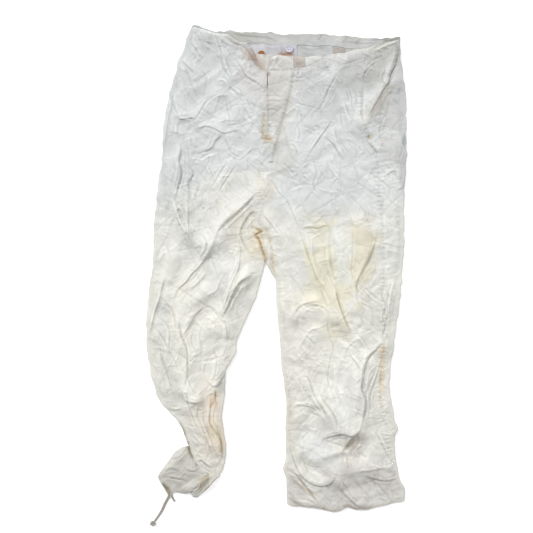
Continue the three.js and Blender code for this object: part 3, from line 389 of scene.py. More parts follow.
# Narrow stains along creases and edges: width, strength, colour, path
stainLines = [
    (2.2, 0.75, (150, 108, 48), [(-57, 96), (-50, 87), (-33, 82), (-46, 75), (-40, 66), (-34, 52),
     (-30, 38), (-25, 25), (-22, 15)]),
    (3.0, 0.5, (176, 140, 84), [(-30, 38), (-25, 25), (-22, 15)]),
    (2.0, 0.6, (168, 132, 76), [(-12, 45), (-9, 34), (-8, 14), (-10, 6), (-3, -10), (-1, -20)]),
    (3.0, 0.45, (196, 172, 128), [(-28, 96), (-16, 69), (-12, 45)]),
    (2.2, 0.65, (150, 132, 118), [(-108, 515), (-90, 499), (-66, 494), (-54, 477), (-44, 456), (-22, 431)]),
    (3.6, 0.55, (166, 132, 112), [(-58, 478), (-46, 456), (-34, 442), (-19, 430)]),
    (1.8, 0.5, (150, 146, 134), [(-113, 511), (-94, 494), (-73, 487), (-61, 472), (-50, 452), (-30, 430)]),
    (1.4, 0.4, (168, 164, 156), [(28, 469), (8, 468), (2, 461), (1, 452), (6, 443), (20, 441)]),
    (1.8, 0.8, (96, 62, 50), [(-17, 432), (-16.5, 421)]),
    (2.2, 0.8, (150, 92, 48), [(10, 471), (28, 470), (40, 471)]),
    (1.4, 0.6, (158, 155, 146), [(-18, 420), (-20.5, 396), (-18.5, 350), (-20.5, 300), (-24, 270)]),
    (1.3, 0.6, (138, 130, 104), [(-33, 346), (-26, 339), (-30, 330), (-25, 325)]),
    (1.4, 0.6, (140, 130, 98), [(-36, 321), (-28, 316), (-32, 307), (-24, 303)]),
    (1.5, 0.6, (146, 130, 90), [(-37, 300), (-29, 295), (-33, 287), (-26, 281)]),
    (1.2, 0.5, (150, 140, 110), [(-20, 318), (-14, 312), (-17, 306)]),
    (2.0, 0.55, (146, 112, 66), [(-30, 290), (-24, 286), (-17, 283), (-9, 287)]),
    (2.2, 0.6, (176, 172, 166), [(-14, 234), (-8, 232)]),
    (1.8, 0.65, (150, 116, 74), [(-134, -263), (-133, -311)]),
    (1.6, 0.7, (206, 136, 66), [(-140, -280), (-146, -309)]),
    (1.8, 0.6, (150, 128, 84), [(-135, -336), (-127, -360), (-122, -382), (-120, -417)]),
    (1.6, 0.45, (190, 152, 104), [(-147, -316), (-143, -350), (-136, -372)]),
    (1.4, 0.35, (186, 160, 130), [(-152, -330), (-149, -380), (-141, -410)]),
    (2.2, 0.6, (190, 150, 80), [(-142, -450), (-162, -463), (-168, -483)]),
    (1.8, 0.5, (168, 158, 128), [(-188, -388), (-192, -400), (-184, -416)]),
    (3.0, 0.8, (176, 150, 84), [(200, 292), (204, 284)]),
    (1.8, 0.45, (166, 158, 142), [(199, 278), (221, 252)]),
    (2.6, 0.6, (190, 146, 92), [(233, -172), (235, -186)]),
    (2.4, 0.35, (196, 178, 150), [(240, -150), (229, -208), (229, -283), (237, -333)]),
    (2.8, 0.7, (122, 108, 94), [(24, -500), (36, -510), (58, -520)]),
    (2.6, 0.65, (116, 98, 82), [(146, -524), (160, -528), (178, -531)]),
    (2.0, 0.5, (140, 128, 108), [(22, -488), (34, -498), (44, -512)]),
    (3.5, 0.45, (120, 108, 98), [(98, -526), (108, -529)]),
    (2.2, 0.5, (160, 136, 104), [(30, -452), (42, -470), (64, -484), (90, -500)]),
    (2.0, 0.35, (178, 150, 130), [(36, -520), (120, -530), (150, -520), (190, -526), (260, -512)]),
    (1.6, 0.4, (150, 132, 118), [(44, 404), (48, 430), (46, 440)]),
    (1.6, 0.5, (198, 188, 128), [(50, 85), (56, 65), (67, 32), (80, -3), (91, -25), (105, -47),
     (118, -74)]),
    (1.6, 0.5, (190, 180, 118), [(168, -8), (173, -36), (180, -60)]),
    (1.6, 0.45, (196, 186, 126), [(52, 87), (74, 91), (91, 89), (118, 94)]),
    (1.6, 0.4, (200, 190, 132), [(131, -38), (118, 5), (113, 40), (113, 78)]),
    (1.8, 0.55, (160, 150, 108), [(126, -38), (136, -74), (144, -100), (155, -126), (164, -144)]),
    (1.6, 0.35, (196, 186, 130), [(215, 85), (204, 30), (180, -20)]),
    (1.6, 0.45, (172, 160, 120), [(183, -355), (170, -366), (150, -385), (140, -400)]),
    (1.6, 0.4, (188, 168, 132), [(157, -412), (155, -430), (160, -440)]),
    (2.0, 0.45, (150, 140, 120), [(21, -441), (43, -452), (60, -474), (74, -492), (92, -514)]),
    (1.6, 0.4, (176, 156, 128), [(34, -377), (40, -404), (46, -430)]),
    (1.6, 0.45, (170, 164, 128), [(-73, 89), (-78, 71), (-69, 49), (-54, 27)]),
    (1.6, 0.4, (176, 166, 128), [(-226, -74), (-217, -47), (-199, -30), (-168, 5), (-150, 27)]),
    (1.8, 0.5, (150, 146, 120), [(-122, -109), (-111, -91), (-102, -69), (-91, -47), (-80, -30),
     (-47, -3)]),
    (1.6, 0.45, (160, 156, 130), [(-212, -109), (-210, -144), (-197, -175), (-194, -210), (-194, -237),
     (-205, -267)]),
    (1.8, 0.55, (140, 126, 84), [(-118, -421), (-120, -399), (-124, -373), (-137, -355), (-148, -338)]),
    (2.0, 0.6, (120, 112, 76), [(-216, -329), (-205, -351), (-199, -373), (-190, -404), (-179, -430)]),
    (3.0, 0.7, (96, 80, 56), [(-252, -470), (-243, -480), (-236, -488)]),
]

# The plan is sampled on one grid, so that neighbouring pieces agree at their seams
plan = {"left": -304.0, "right": 304.0, "foot": -575.0, "head": 565.0, "cell": 1.25}
planX = np.arange(plan["left"], plan["right"], plan["cell"])
planY = np.arange(plan["foot"], plan["head"], plan["cell"])
gridX, gridY = np.meshgrid(planX, planY)


def blur(field, size):
    spreadX = np.fft.rfftfreq(field.shape[1], plan["cell"])
    spreadY = np.fft.fftfreq(field.shape[0], plan["cell"])[:, None]
    kept = np.exp(-2 * (math.pi * size) ** 2 * (spreadX**2 + spreadY**2))
    return np.fft.irfft2(np.fft.rfft2(field) * kept, field.shape)


def softNoise(size, seed):
    field = blur(np.random.default_rng(seed).standard_normal(gridX.shape), size)
    return field / field.std()


def smoothStep(low, high, value):
    share = np.clip((value - low) / (high - low), 0, 1)
    return share * share * (3 - 2 * share)


def sample(field, x, y):
    u = np.clip((x - plan["left"]) / plan["cell"], 0, gridX.shape[1] - 1.001)
    v = np.clip((y - plan["foot"]) / plan["cell"], 0, gridX.shape[0] - 1.001)
    i, j = u.astype(int), v.astype(int)
    u, v = u - i, v - j
    if field.ndim == 3:
        u, v = u[..., None], v[..., None]
    low = field[j, i] * (1 - u) + field[j, i + 1] * u
    high = field[j + 1, i] * (1 - u) + field[j + 1, i + 1] * u
    return low * (1 - v) + high * v


# The distance from a place, as a share of the way to the rim of a turned oval around it
def ovalDistance(x, y, halfWidth, halfLength, turn=0):
    angle = math.radians(turn)
    across = ((gridX - x) * math.cos(angle) + (gridY - y) * math.sin(angle)) / halfWidth
    along = ((gridY - y) * math.cos(angle) - (gridX - x) * math.sin(angle)) / halfLength
    return np.hypot(across, along)


# Paints a colour over a field of colours, by a share at each place
def shadeTowards(colours, share, colour):
    colours += share[..., None] * (np.array(colour, float) - colours)


# A smooth line through one column of a table, with a slight unevenness
def edgeLine(rows, column, seed, soften=3.5, uneven=1.3):
    rows = sorted(rows)
    keys = np.arange(rows[0][0], rows[-1][0] + 1.0)
    values = np.interp(keys, [row[0] for row in rows], [row[column] for row in rows])
    reach = int(4 * soften)
    weights = np.exp(-0.5 * (np.arange(-reach, reach + 1) / soften) ** 2)
    weights /= weights.sum()
    padded = np.pad(values, reach, mode="reflect", reflect_type="odd")
    wave = np.convolve(np.random.default_rng(seed).standard_normal(len(padded)), weights, mode="same")
    return lambda key: np.interp(key, keys, np.convolve(padded + uneven * 3 * wave, weights, mode="valid"))


rightOuter, rightInner = edgeLine(rightLeg, 1, 11), edgeLine(rightLeg, 2, 12, 3, 0.5)
leftOuter, leftInner = edgeLine(leftLeg, 1, 13), edgeLine(leftLeg, 2, 14, 3, 0.5)
wrapWidth = edgeLine(leftLeg, 3, 15)
backWaistLine, rightWaistLine = edgeLine(backWaist, 1, 16), edgeLine(rightWaist, 1, 17, 3, 0.6)
leftWaistLine, leftHemLine = edgeLine(leftWaist, 1, 18, 2.5, 0.6), edgeLine(leftHem, 1, 19)
rightBandLine, leftBandLine = edgeLine(rightBandFoot, 1, 20, 3, 0.5), edgeLine(leftBandFoot, 1, 21)
backBandLine = edgeLine(backBandFoot, 1, 22)


def sideSeam(y):
    return leftOuter(y) - wrapWidth(y)


def foldLine(y):
    return leftOuter(y) - cloth["fold"]


def centreSeam(y):
    return crotch[0] + 24 * np.clip((y - crotch[1]) / 472, 0, 1)


# The height of the solids' upper faces, seen from above
def heightOfSolids(*names):
    points, faces = [], []
    for name in names:
        start = len(points)
        mesh = bpy.data.objects[name].data
        points += [tuple(v.co / mm) for v in mesh.vertices]
        faces += [[start + n for n in face.vertices] for face in mesh.polygons]
    tree = BVHTree.FromPolygons(points, faces)
    step = 4
    found = np.zeros(gridX[::step, ::step].shape)
    for j, y in enumerate(planY[::step]):
        for i, x in enumerate(planX[::step]):
            hit = tree.ray_cast((x, y, 100.0), (0, 0, -1))[0]
            found[j, i] = hit.z if hit else np.nan
    return found, step


print("heights of the solids")
mainForm, formStep = heightOfSolids(
    "front_right", "front_left", "back_left", "fly_overlap", "waistband_front_right",
    "waistband_front_left", "hem_left",
)
covered = ~np.isnan(mainForm)
weight = np.kron(covered.astype(float), np.ones((formStep, formStep)))[: gridX.shape[0], : gridX.shape[1]]
solidTop = np.kron(np.where(covered, mainForm, 0), np.ones((formStep, formStep)))
solidTop = solidTop[: gridX.shape[0], : gridX.shape[1]]
solidTop = blur(solidTop, 5.5) / np.maximum(blur(weight, 5.5), 0.02)


# A turned and wavy grid of cells: the places on it and the numbers of their cells
def wavyGrid(size, turn, stretch, wave, spread, seed):
    across = gridX * math.cos(turn) + gridY * math.sin(turn)
    along = gridY * math.cos(turn) - gridX * math.sin(turn)
    u = across / size + wave * softNoise(size * spread, seed + 1)
    v = along / (size * stretch) + wave * softNoise(size * spread, seed + 2)
    return u, v, np.floor(u).astype(int), np.floor(v).astype(int)


lattice = (211, 197)  # how many cells have their own random values before they repeat


# Crumpled cloth is made of small flat facets with crisp edges between them
def facets(size, turn, stretch, seed):
    random = np.random.default_rng(seed)
    heights = random.uniform(-1, 1, lattice)
    flips = random.random(lattice) > 0.5
    u, v, i, j = wavyGrid(size, turn, stretch, 0.34, 0.8, seed)
    u, v = u - i, v - j
    corner = lambda a, b: heights[(i + a) % lattice[0], (j + b) % lattice[1]]
    flip = flips[i % lattice[0], j % lattice[1]]
    u = np.where(flip, 1 - u, u)
    near, far = np.where(flip, corner(1, 0), corner(0, 0)), np.where(flip, corner(0, 0), corner(1, 0))
    nearUp, farUp = np.where(flip, corner(1, 1), corner(0, 1)), np.where(flip, corner(0, 1), corner(1, 1))
    low = near + u * (far - near) + v * (nearUp - near)
    high = farUp + (1 - u) * (nearUp - farUp) + (1 - v) * (far - farUp)
    return np.where(u + v < 1, low, high)


# A smooth curve that runs from the second point to the third as t goes from 0 to 1
def curve(a, b, c, d, t):
    return 0.5 * (2 * b + (c - a) * t + (2 * a - 5 * b + 4 * c - d) * t**2 + (3 * b - a - 3 * c + d) * t**3)


def smoothPath(path, spacing=5.0):
    points = np.array(path, float)
    if len(points) < 3:
        return points
    padded = np.vstack([2 * points[0] - points[1], points, 2 * points[-1] - points[-2]])
    result = []
    for a, b, c, d in zip(padded, padded[1:], padded[2:], padded[3:]):
        steps = max(2, int(np.hypot(*(c - b)) / spacing))
        t = (np.arange(steps) / steps)[:, None]
        result.append(curve(a, b, c, d, t))
    return np.vstack(result + [points[-1:]])


# Adds a profile of the distance to a path, which is positive on the path's right
def press(field, path, profile, reach):
    points = smoothPath(path)
    low = ((points.min(0) - reach - (plan["left"], plan["foot"])) / plan["cell"]).astype(int)
    high = ((points.max(0) + reach - (plan["left"], plan["foot"])) / plan["cell"]).astype(int) + 2
    low = np.maximum(low, 0)
    window = (slice(low[1], max(high[1], 1)), slice(low[0], max(high[0], 1)))
    x, y = gridX[window], gridY[window]
    if not x.size:
        return
    nearest = np.full(x.shape, np.inf)
    side, arc = np.ones(x.shape), np.zeros(x.shape)
    travelled = 0.0
    for start, end in zip(points, points[1:]):
        run = end - start
        length = math.hypot(*run)
        share = np.clip(((x - start[0]) * run[0] + (y - start[1]) * run[1]) / length**2, 0, 1)
        offX, offY = x - start[0] - share * run[0], y - start[1] - share * run[1]
        distance = offX**2 + offY**2
        closer = distance < nearest
        nearest = np.where(closer, distance, nearest)
        side = np.where(closer, np.sign(offX * run[1] - offY * run[0]), side)
        arc = np.where(closer, travelled + share * length, arc)
        travelled += length
    field[window] += profile(np.sqrt(nearest) * side, arc, travelled)


def taper(arc, length, share=0.3):
    return smoothStep(0, share * length, np.minimum(arc, length - arc) + 0.12 * share * length)


def ridge(width, height):
    return lambda side, arc, length: height * taper(arc, length) * np.exp(-((side / width) ** 2))


def valley(width, height):
    return lambda side, arc, length: height * taper(arc, length) * (
        0.4 * np.exp(-((side / (3.5 * width)) ** 2)) - np.exp(-np.abs(side) / width))


def fold(width, height):
    def profile(side, arc, length):
        lifted = np.exp(-((side / (1.25 * width)) ** 2))
        sunk = -0.4 * np.exp(-np.abs(side) / (0.8 * width))
        across = smoothStep(-0.7, 1.5, side)
        return height * taper(arc, length) * (lifted * (1 - across) + sunk * across)
    return profile


kinds = {"ridge": ridge, "valley": valley, "fold": fold}

print("creases")
crumple = {
    # size, turn, stretch, height
    "facets": [(74, 0.5, 1.3, 1.2), (38, 1.1, 1.7, 2.0), (22, 2.0, 1.9, 1.7), (12, 0.3, 1.7, 0.95)],
    # size, turn, stretch, depth, width
    "nets": [(60, 0.9, 2.4, 0.8, 1.3), (46, 2.3, 2.4, 0.8, 1.2), (27, 0.2, 2.2, 0.7, 1.1)],
    "pinches": 2200, "seed": 40,
}
relief = np.zeros(gridX.shape)
for number, (size, turn, stretch, height) in enumerate(crumple["facets"]):
    relief += height * facets(size, turn, stretch, crumple["seed"] + 7 * number)
relief = blur(relief, 0.5)


# A net of thin crease lines that come and go: near 1 on a line, 0 beside it
def creaseNet(size, turn, stretch, width, seed):
    jitterU, jitterV = np.random.default_rng(seed).random((2, *lattice))
    u, v, i, j = wavyGrid(size, turn, stretch, 0.5, 0.9, seed)
    first, second = np.full(u.shape, np.inf), np.full(u.shape, np.inf)
    for a in (-1, 0, 1):
        for b in (-1, 0, 1):
            column, row = (i + a) % lattice[0], (j + b) % lattice[1]
            distance = np.hypot(i + a + jitterU[column, row] - u, j + b + jitterV[column, row] - v)
            second = np.minimum(second, np.maximum(first, distance))
            first = np.minimum(first, distance)
    line = np.exp(-(second - first) * size / (2 * width))
    return line * smoothStep(-0.5, 1.1, softNoise(size * 0.6, seed + 3))


# Painted shade: the colour is also darkened along the net's crease lines
creaseShadeLines = np.zeros(gridX.shape)
for number, (size, turn, stretch, depth, width) in enumerate(crumple["nets"]):
    lines = creaseNet(size, turn, stretch, width, 500 + 10 * number)
    relief -= depth * lines
    creaseShadeLines += 0.5 * depth * lines


def thinLine(width, strength):
    return lambda side, arc, length: strength * taper(arc, length) * np.exp(-np.abs(side) / width)


# Smooth panels that stand up between the creases: x, y, half width, half length, turn, height
panels = [
    (87, -395, 44, 40, 8, 5), (157, -276, 26, 84, -4, 5), (170, -452, 50, 38, 0, 2.5),
    (128, 34, 24, 80, 0, 2.5), (-120, -12, 26, 54, 20, 4.5), (-203, 219, 20, 30, 0, 2.5),
    (-150, -160, 30, 60, 0, 3.5), (-250, -150, 20, 60, 0, 3), (178, 390, 40, 34, -30, -3),
    (250, 60, 20, 120, 0, 3), (24, -60, 18, 90, 8, 2.5), (60, -330, 30, 24, 0, 2.5),
]
for *oval, height in panels:
    ragged = 0.06 * softNoise(16, 400 + int(oval[0]))
    relief += height * smoothStep(1.15, 0.45, ovalDistance(*oval) + ragged)
strengths = {"fold": 0.6, "ridge": 0.85, "valley": 1.25}
random = np.random.default_rng(76)
for kind, width, height, path in creases:
    press(relief, path, kinds[kind](max(width, 1.8), strengths[kind] * height), 4 * width + 6)
    # Painted shade: valleys and folds also darken the colour along their paths
    if kind != "ridge":
        press(creaseShadeLines, path, thinLine(1.3, 0.45 * math.sqrt(height)), 8)
    start, end = np.array(path[0], float), np.array(path[-1], float)
    run = end - start
    across = np.array([-run[1], run[0]]) / max(math.hypot(*run), 1)
    for side in (-1, 1):  # fainter creases follow a strong one
        shift = side * random.uniform(4, 9) * across
        low, high = random.uniform(0, 0.3), random.uniform(0.6, 1)
        follow = np.array(path, float) + shift + random.normal(0, 1.2, (len(path), 2))
        middle = follow.mean(0)
        follow = middle + (high - low) * (follow - middle) + (low + high - 1) / 2 * run
        lesser = random.choice(["valley", "ridge", "fold"])
        lesserWidth = random.uniform(1.4, 2.6)
        lesserHeight = random.uniform(0.25, 0.5) * height * strengths[lesser]
        press(relief, follow, kinds[lesser](lesserWidth, lesserHeight), 16)

random = np.random.default_rng(77)
for number in range(crumple["pinches"]):
    x, y = random.uniform(-290, 290), random.uniform(-530, 530)
    angle = random.uniform(0, math.pi)
    length = random.uniform(9, 34)
    bend = random.uniform(-0.35, 0.35)
    steps = [(length * (t - 0.5), angle + bend * t) for t in (0, 0.5, 1)]
    path = [(x + step * math.cos(way), y + step * math.sin(way)) for step, way in steps]
    kind = random.choice(["valley", "ridge", "fold"], p=[0.5, 0.2, 0.3])
    width = random.uniform(1.3, 2.6)
    press(relief, path, kinds[kind](width, random.uniform(0.35, 1.25)), 4 * width + 4)


# Seams draw the cloth in: a groove with short puckers across it
def seam(depth, pucker, spacing, spread, seed):
    random = np.random.default_rng(seed)
    numbers = np.arange(400)  # more puckers than the longest seam has
    phase = np.cumsum(random.uniform(0.6, 1.4, 400))
    strength = random.uniform(0.35, 1.0, 400)
    def profile(side, arc, length):
        turns = np.interp(arc / spacing, numbers, phase)
        uneven = np.interp(arc / (2.3 * spacing), numbers, strength)
        waves = pucker * uneven * np.sin(2 * math.pi * turns) * np.exp(-np.abs(side) / spread)
        return waves - depth * np.exp(-np.abs(side) / 1.4)
    return profile


def alongY(line, start, end, offset=0.0, step=12):
    heights = np.linspace(start, end, max(2, int(abs(end - start) / step)))
    return [(float(line(y)) + offset, float(y)) for y in heights]


def alongX(line, start, end, offset=0.0, step=12):
    places = np.linspace(start, end, max(2, int(abs(end - start) / step)))
    return [(float(x), float(line(x)) + offset) for x in places]


seamPulls = [  # path, depth, pucker, spacing, spread, reach
    (alongY(sideSeam, 448, -494), 0.7, 0.6, 9, 8, 28),
    (alongY(sideSeam, -300, -430), 0, 0.9, 6.5, 9, 28),
    (alongY(leftInner, 30, -480, 6), 0.5, 0.4, 8, 6, 22),
    (alongY(leftInner, 235, 30), 0.5, 0.5, 8, 7, 26),
    (alongY(leftInner, 430, 240, -3), 0.9, 0.35, 9, 7, 26),
    (alongX(leftBandLine, -12, 266), 0.5, 0.45, 8, 6, 22),
    (alongX(rightBandLine, -200, -30), 0.5, 0.5, 9, 6, 22),
    (alongX(leftHemLine, 24, 272, casingHeight), 0.4, 0.5, 7.5, 7, 26),
]
for number, (path, depth, pucker, spacing, spread, reach) in enumerate(seamPulls):
    press(relief, path, seam(depth, pucker, spacing, spread, 51 + number), reach)


# How far a place of the front is from the nearest edge of its leg
def edgeDistance(x, y):
    sides = np.minimum(x - rightOuter(y), leftOuter(y) - x)
    onRight = (x < crotch[0]) | ((x < leftInner(y)) & (x <= rightInner(y)))
    legs = np.where(onRight, rightInner(y) - x, x - leftInner(y))
    fromCrotch = np.hypot(x - crotch[0], y - crotch[1])
    return np.minimum(sides, np.where(y > crotch[1], fromCrotch, legs))


# The front's upper face: its edges are rolled, and it stays above the back
edge = np.maximum(edgeDistance(gridX, gridY), 0)
rolled = np.sqrt(1 - (1 - np.clip(edge / 4.0, 0, 1)) ** 2)  # the round of the side fold
edgeTop = 1.7
lowest = 2.0 + cloth["thickness"]
calm = 0.25 + 0.75 * smoothStep(0, 16, edge)
raised = solidTop + 1.0 + relief * calm
frontTop = lowest + 0.5 * ((raised - lowest) + np.sqrt((raised - lowest) ** 2 + 1.2))
frontTop = edgeTop + (frontTop - edgeTop) * rolled


# Bands and hems come down to what they lie on along their free edges
def settled(height, distance, reach, rest):
    share = np.sqrt(1 - (1 - np.clip(distance / reach, 0, 1)) ** 2)
    return rest + (height - rest) * share


rightRest = 3.2 + 2.2 * smoothStep(-100, -62, gridX)  # higher where it lies on the button end
bandTop = np.where(gridX < -18, settled(frontTop, rightWaistLine(gridX) - gridY, 9, rightRest),
                   settled(frontTop, leftWaistLine(gridX) - gridY, 9, 4.6))
hemTop = settled(frontTop, gridY - leftHemLine(gridX), 12, 3.0)
hemTop = edgeTop + (hemTop - edgeTop) * rolled

print("colours")
ground = {"top": (214.5, 217.0, 216.5), "legs": (228.0, 226.5, 218.0), "hems": (214.0, 213.0, 206.0)}
age = smoothStep(200, -70, gridY + 45 * softNoise(40, 61))[..., None]
tone = np.array(ground["top"]) * (1 - age) + np.array(ground["legs"]) * age
shadeTowards(tone, smoothStep(-170, -430, gridY + 30 * softNoise(40, 64)) * 0.9, ground["hems"])
for number, (*oval, colour, strength) in enumerate(marks):
    ragged = 0.22 * softNoise(14, 70 + number) + 0.1 * softNoise(5, 90 + number)
    shadeTowards(tone, strength * smoothStep(1.25, 0.45, ovalDistance(*oval) + ragged), colour)


def broadLine(halfWidth, strength):
    return lambda side, arc, length: (
        strength * np.exp(-((side / halfWidth) ** 6)) * taper(arc, length, 0.15))


# A field of its own for one path
def pressed(path, profile, reach):
    share = np.zeros(gridX.shape)
    press(share, path, profile, reach)
    return share


# Painted shadow: grey bands beside the fly's stitched edge and along the deep fold at the left hip
shadowBands = [  # half width, strength, colour, path
    (3.6, 0.85, (188, 185, 179), [(39, 446), (36, 428), (32, 402), (24, 370), (14, 334), (5, 299),
     (-3, 266), (-12, 230)]),
    (8.5, 0.75, (186, 183, 175), [(252, 410), (238, 384), (222, 358), (207, 330)]),
    (5.0, 0.6, (168, 168, 163), [(268, 492), (262, 462), (252, 436), (244, 412)]),
    (4.0, 0.6, (170, 170, 166), [(270, 494), (266, 470), (257, 442), (246, 418)]),
]
for halfWidth, strength, colour, path in shadowBands:
    shadeTowards(tone, pressed(path, broadLine(halfWidth, strength), 14), colour)
for number, (width, strength, colour, path) in enumerate(stainLines):
    uneven = 0.65 + 0.35 * smoothStep(-1, 1, softNoise(3.5, 130 + number))
    shadeTowards(tone, pressed(path, thinLine(width, strength), 5 * width) * uneven, colour)
# Painted shade and highlight: the colour is darker in hollows and lighter on ridges, at a broad and a fine
# scale
shadeAndHighlight = np.clip((blur(frontTop, 5) - frontTop) / 2.5, -0.6, 1)
fineShadeAndHighlight = np.clip((blur(frontTop, 1.8) - frontTop) / 0.35, -1, 1)
# Painted shade: the edge factor darkens the colour near the front's edges and the crease factors along
# hollows and crease lines; grain and mottle are the cloth's own uneven tone
darker = {"edge": 0.08, "shadeAndHighlight": 0.05, "fineShadeAndHighlight": 0.03, "creaseShade": 0.085, "grain": 0.004, "mottle": 0.005}
brightness = (1 - darker["edge"] * np.exp(-edge / 4.5) - darker["shadeAndHighlight"] * shadeAndHighlight
              - darker["fineShadeAndHighlight"] * fineShadeAndHighlight - darker["creaseShade"] * np.minimum(creaseShadeLines, 1.5)
              - darker["grain"] * softNoise(3.0, 62) - darker["mottle"] * softNoise(9, 63))
tone = np.clip(tone * brightness[..., None], 0, 255) / 255

# On the inside of the back band and on the button end: width, depth, path
waistCreases = [
    (1.8, 1.5, [(-107, 520), (-80, 512), (-47, 509), (-14, 505), (10, 492)]),
    (1.8, 1.3, [(-89, 531), (-58, 520), (-19, 518), (19, 523), (63, 518)]),
    (1.6, 1.3, [(-74, 503), (-45, 494), (-32, 496), (-3, 487)]),
    (1.6, 1.0, [(52, 525), (85, 514), (129, 512), (162, 507)]),
    (1.4, 1.2, [(102, 514), (90, 500)]),
    (1.4, 1.2, [(158, 510), (143, 494)]),
    (1.4, 1.2, [(187, 508), (174, 492)]),
    (1.6, 1.3, [(45, 492), (74, 481), (107, 487), (120, 472)]),
    (1.6, 1.2, [(66, 500), (84, 492), (118, 474)]),
    (1.4, 1.0, [(140, 500), (190, 494), (230, 498)]),
    (2.0, 1.6, [(200, 500), (240, 505), (266, 510)]),
    (1.8, 1.8, [(12, 494), (12, 482), (11, 475), (4, 470), (1, 462)]),
    (1.4, 1.0, [(-30, 490), (-12, 482), (6, 484)]),
    (1.4, 0.9, [(52, 478), (66, 470), (88, 474)]),
]
insideRelief = 0.9 * np.tanh(0.5 * relief)
# Painted shade: the inside's creases also darken its colour along their lines
insideCreaseShade = np.zeros(gridX.shape)
for width, depth, path in waistCreases:
    press(insideRelief, path, valley(width, 0.8 * depth), 14)
    press(insideCreaseShade, path, thinLine(1.3, depth), 8)
insideTone = np.full(gridX.shape + (3,), (198.0, 199.0, 196.0))
insideMarks = [  # x, y, half width, half length, colour, strength
    (100, 482, 70, 16, (198, 201, 201), 0.9),
    (-90, 512, 40, 14, (186, 188, 180), 0.7),
    (255, 506, 26, 12, (160, 161, 156), 0.8),
]
for *oval, colour, strength in insideMarks:
    near = smoothStep(1.3, 0.4, ovalDistance(*oval) + 0.2 * softNoise(9, 210))
    shadeTowards(insideTone, strength * near, colour)
rust = {"colour": (150.0, 100.0, 62.0), "path": [(3, 469.5), (14, 471), (30, 470.5), (42, 470)]}
shadeTowards(insideTone, pressed(rust["path"], thinLine(2.6, 0.95), 12), rust["colour"])
# Painted shade: darker along the inside's creases
insideBrightness = (1 - 0.13 * np.minimum(insideCreaseShade, 1.6) - 0.014 * softNoise(4, 211)
                    - 0.03 * np.tanh(insideRelief))
insideTone = np.clip(insideTone * insideBrightness[..., None], 0, 255) / 255
waistLine = np.where(gridX < -20, rightWaistLine(gridX), leftWaistLine(gridX))
backTone = np.where((gridY > waistLine - 3)[..., None], insideTone, tone)


# From screen colours to linear light
def linear(colour):
    colour = np.asarray(colour, float)
    return np.where(colour <= 0.04045, colour / 12.92, ((colour + 0.055) / 1.055) ** 2.4)


def onlySelect(piece):
    bpy.ops.object.select_all(action="DESELECT")
    piece.select_set(True)
    bpy.context.view_layer.objects.active = piece


def smoothByAngle(piece, degrees):
    onlySelect(piece)
    bpy.ops.object.shade_smooth_by_angle(angle=math.radians(degrees))


# Cloth as a closed wall between two grids of points. The hidden side may be "step" times coarser.
def clothPiece(name, outer, inner, material, tint=None, loop=False, step=1, paint=None):
    rows, across = outer.shape[:2]
    inner = inner[::step, ::step]
    points = np.concatenate([outer.reshape(-1, 3), inner.reshape(-1, 3)]) * mm
    numbers = np.arange(rows * across).reshape(rows, across)
    hidden = rows * across + np.arange(inner.shape[0] * inner.shape[1]).reshape(inner.shape[:2])
    if loop:
        numbers = np.concatenate([numbers, numbers[:, :1]], axis=1)
        hidden = np.concatenate([hidden, hidden[:, :1]], axis=1)
    quads = []
    for grid, flipped in ((numbers, False), (hidden, True)):
        a, b, c, d = grid[:-1, :-1], grid[:-1, 1:], grid[1:, 1:], grid[1:, :-1]
        order = [a, d, c, b] if flipped else [a, b, c, d]
        quads += np.stack(order, -1).reshape(-1, 4).tolist()
    ends = [(numbers[0], hidden[0], True), (numbers[-1], hidden[-1], False)]
    if not loop:
        ends += [(numbers[:, 0], hidden[:, 0], False), (numbers[:, -1], hidden[:, -1], True)]
    for shown, under, back in ends:
        for n in range(len(under) - 1):
            rim = shown[n * step:(n + 1) * step + 1].tolist()[::-1] + [int(under[n]), int(under[n + 1])]
            quads.append(rim if back else rim[::-1])
    mesh = bpy.data.meshes.new(name)
    mesh.from_pydata(points.tolist(), [], quads)
    corners = points[np.array(quads[: (rows - 1) * (across - 1)])[:, :3]]
    upward = np.cross(corners[:, 1] - corners[:, 0], corners[:, 2] - corners[:, 0])
    towards = outer.reshape(-1, 3).mean(0) - inner.reshape(-1, 3).mean(0)
    if not loop and upward.sum(0).dot(towards) < 0 or loop and upward[0, 2] < 0:
        mesh.flip_normals()
    colours = sample(tone if paint is None else paint, *(points[:, :2] / mm).T) * (tint or 1.0)
    layer = mesh.color_attributes.new("tone", "FLOAT_COLOR", "POINT")
    rgba = np.ones((len(points), 4))
    rgba[:, :3] = linear(colours)
    layer.data.foreach_set("color", rgba.ravel())
    mesh.validate()
    piece = bpy.data.objects.new(name, mesh)
    bpy.context.scene.collection.objects.link(piece)
    mesh.materials.append(material)
    smoothByAngle(piece, 55)
    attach(piece, "root")
    return piece


settleRounds = 14  # enough to find a place whose y depends on its x


# Places of a panel's points: u goes across and v from the top edge to the bottom edge
def panelPlan(inner, outer, top, bottom, across, down):
    u = np.linspace(0, 1, across + 1)
    ends = []
    for edge in (top, bottom):
        y = edge(0 * u) + 0 * u
        for _ in range(settleRounds):
            y = 0.5 * (y + edge(inner(y) + u * (outer(y) - inner(y))))
        ends.append(y)
    v = np.linspace(0, 1, down + 1)[:, None]
    y = ends[0] * (1 - v) + ends[1] * v
    return inner(y) + u * (outer(y) - inner(y)), y


def raise3(x, y, z):
    return np.stack([x, y, z], -1)


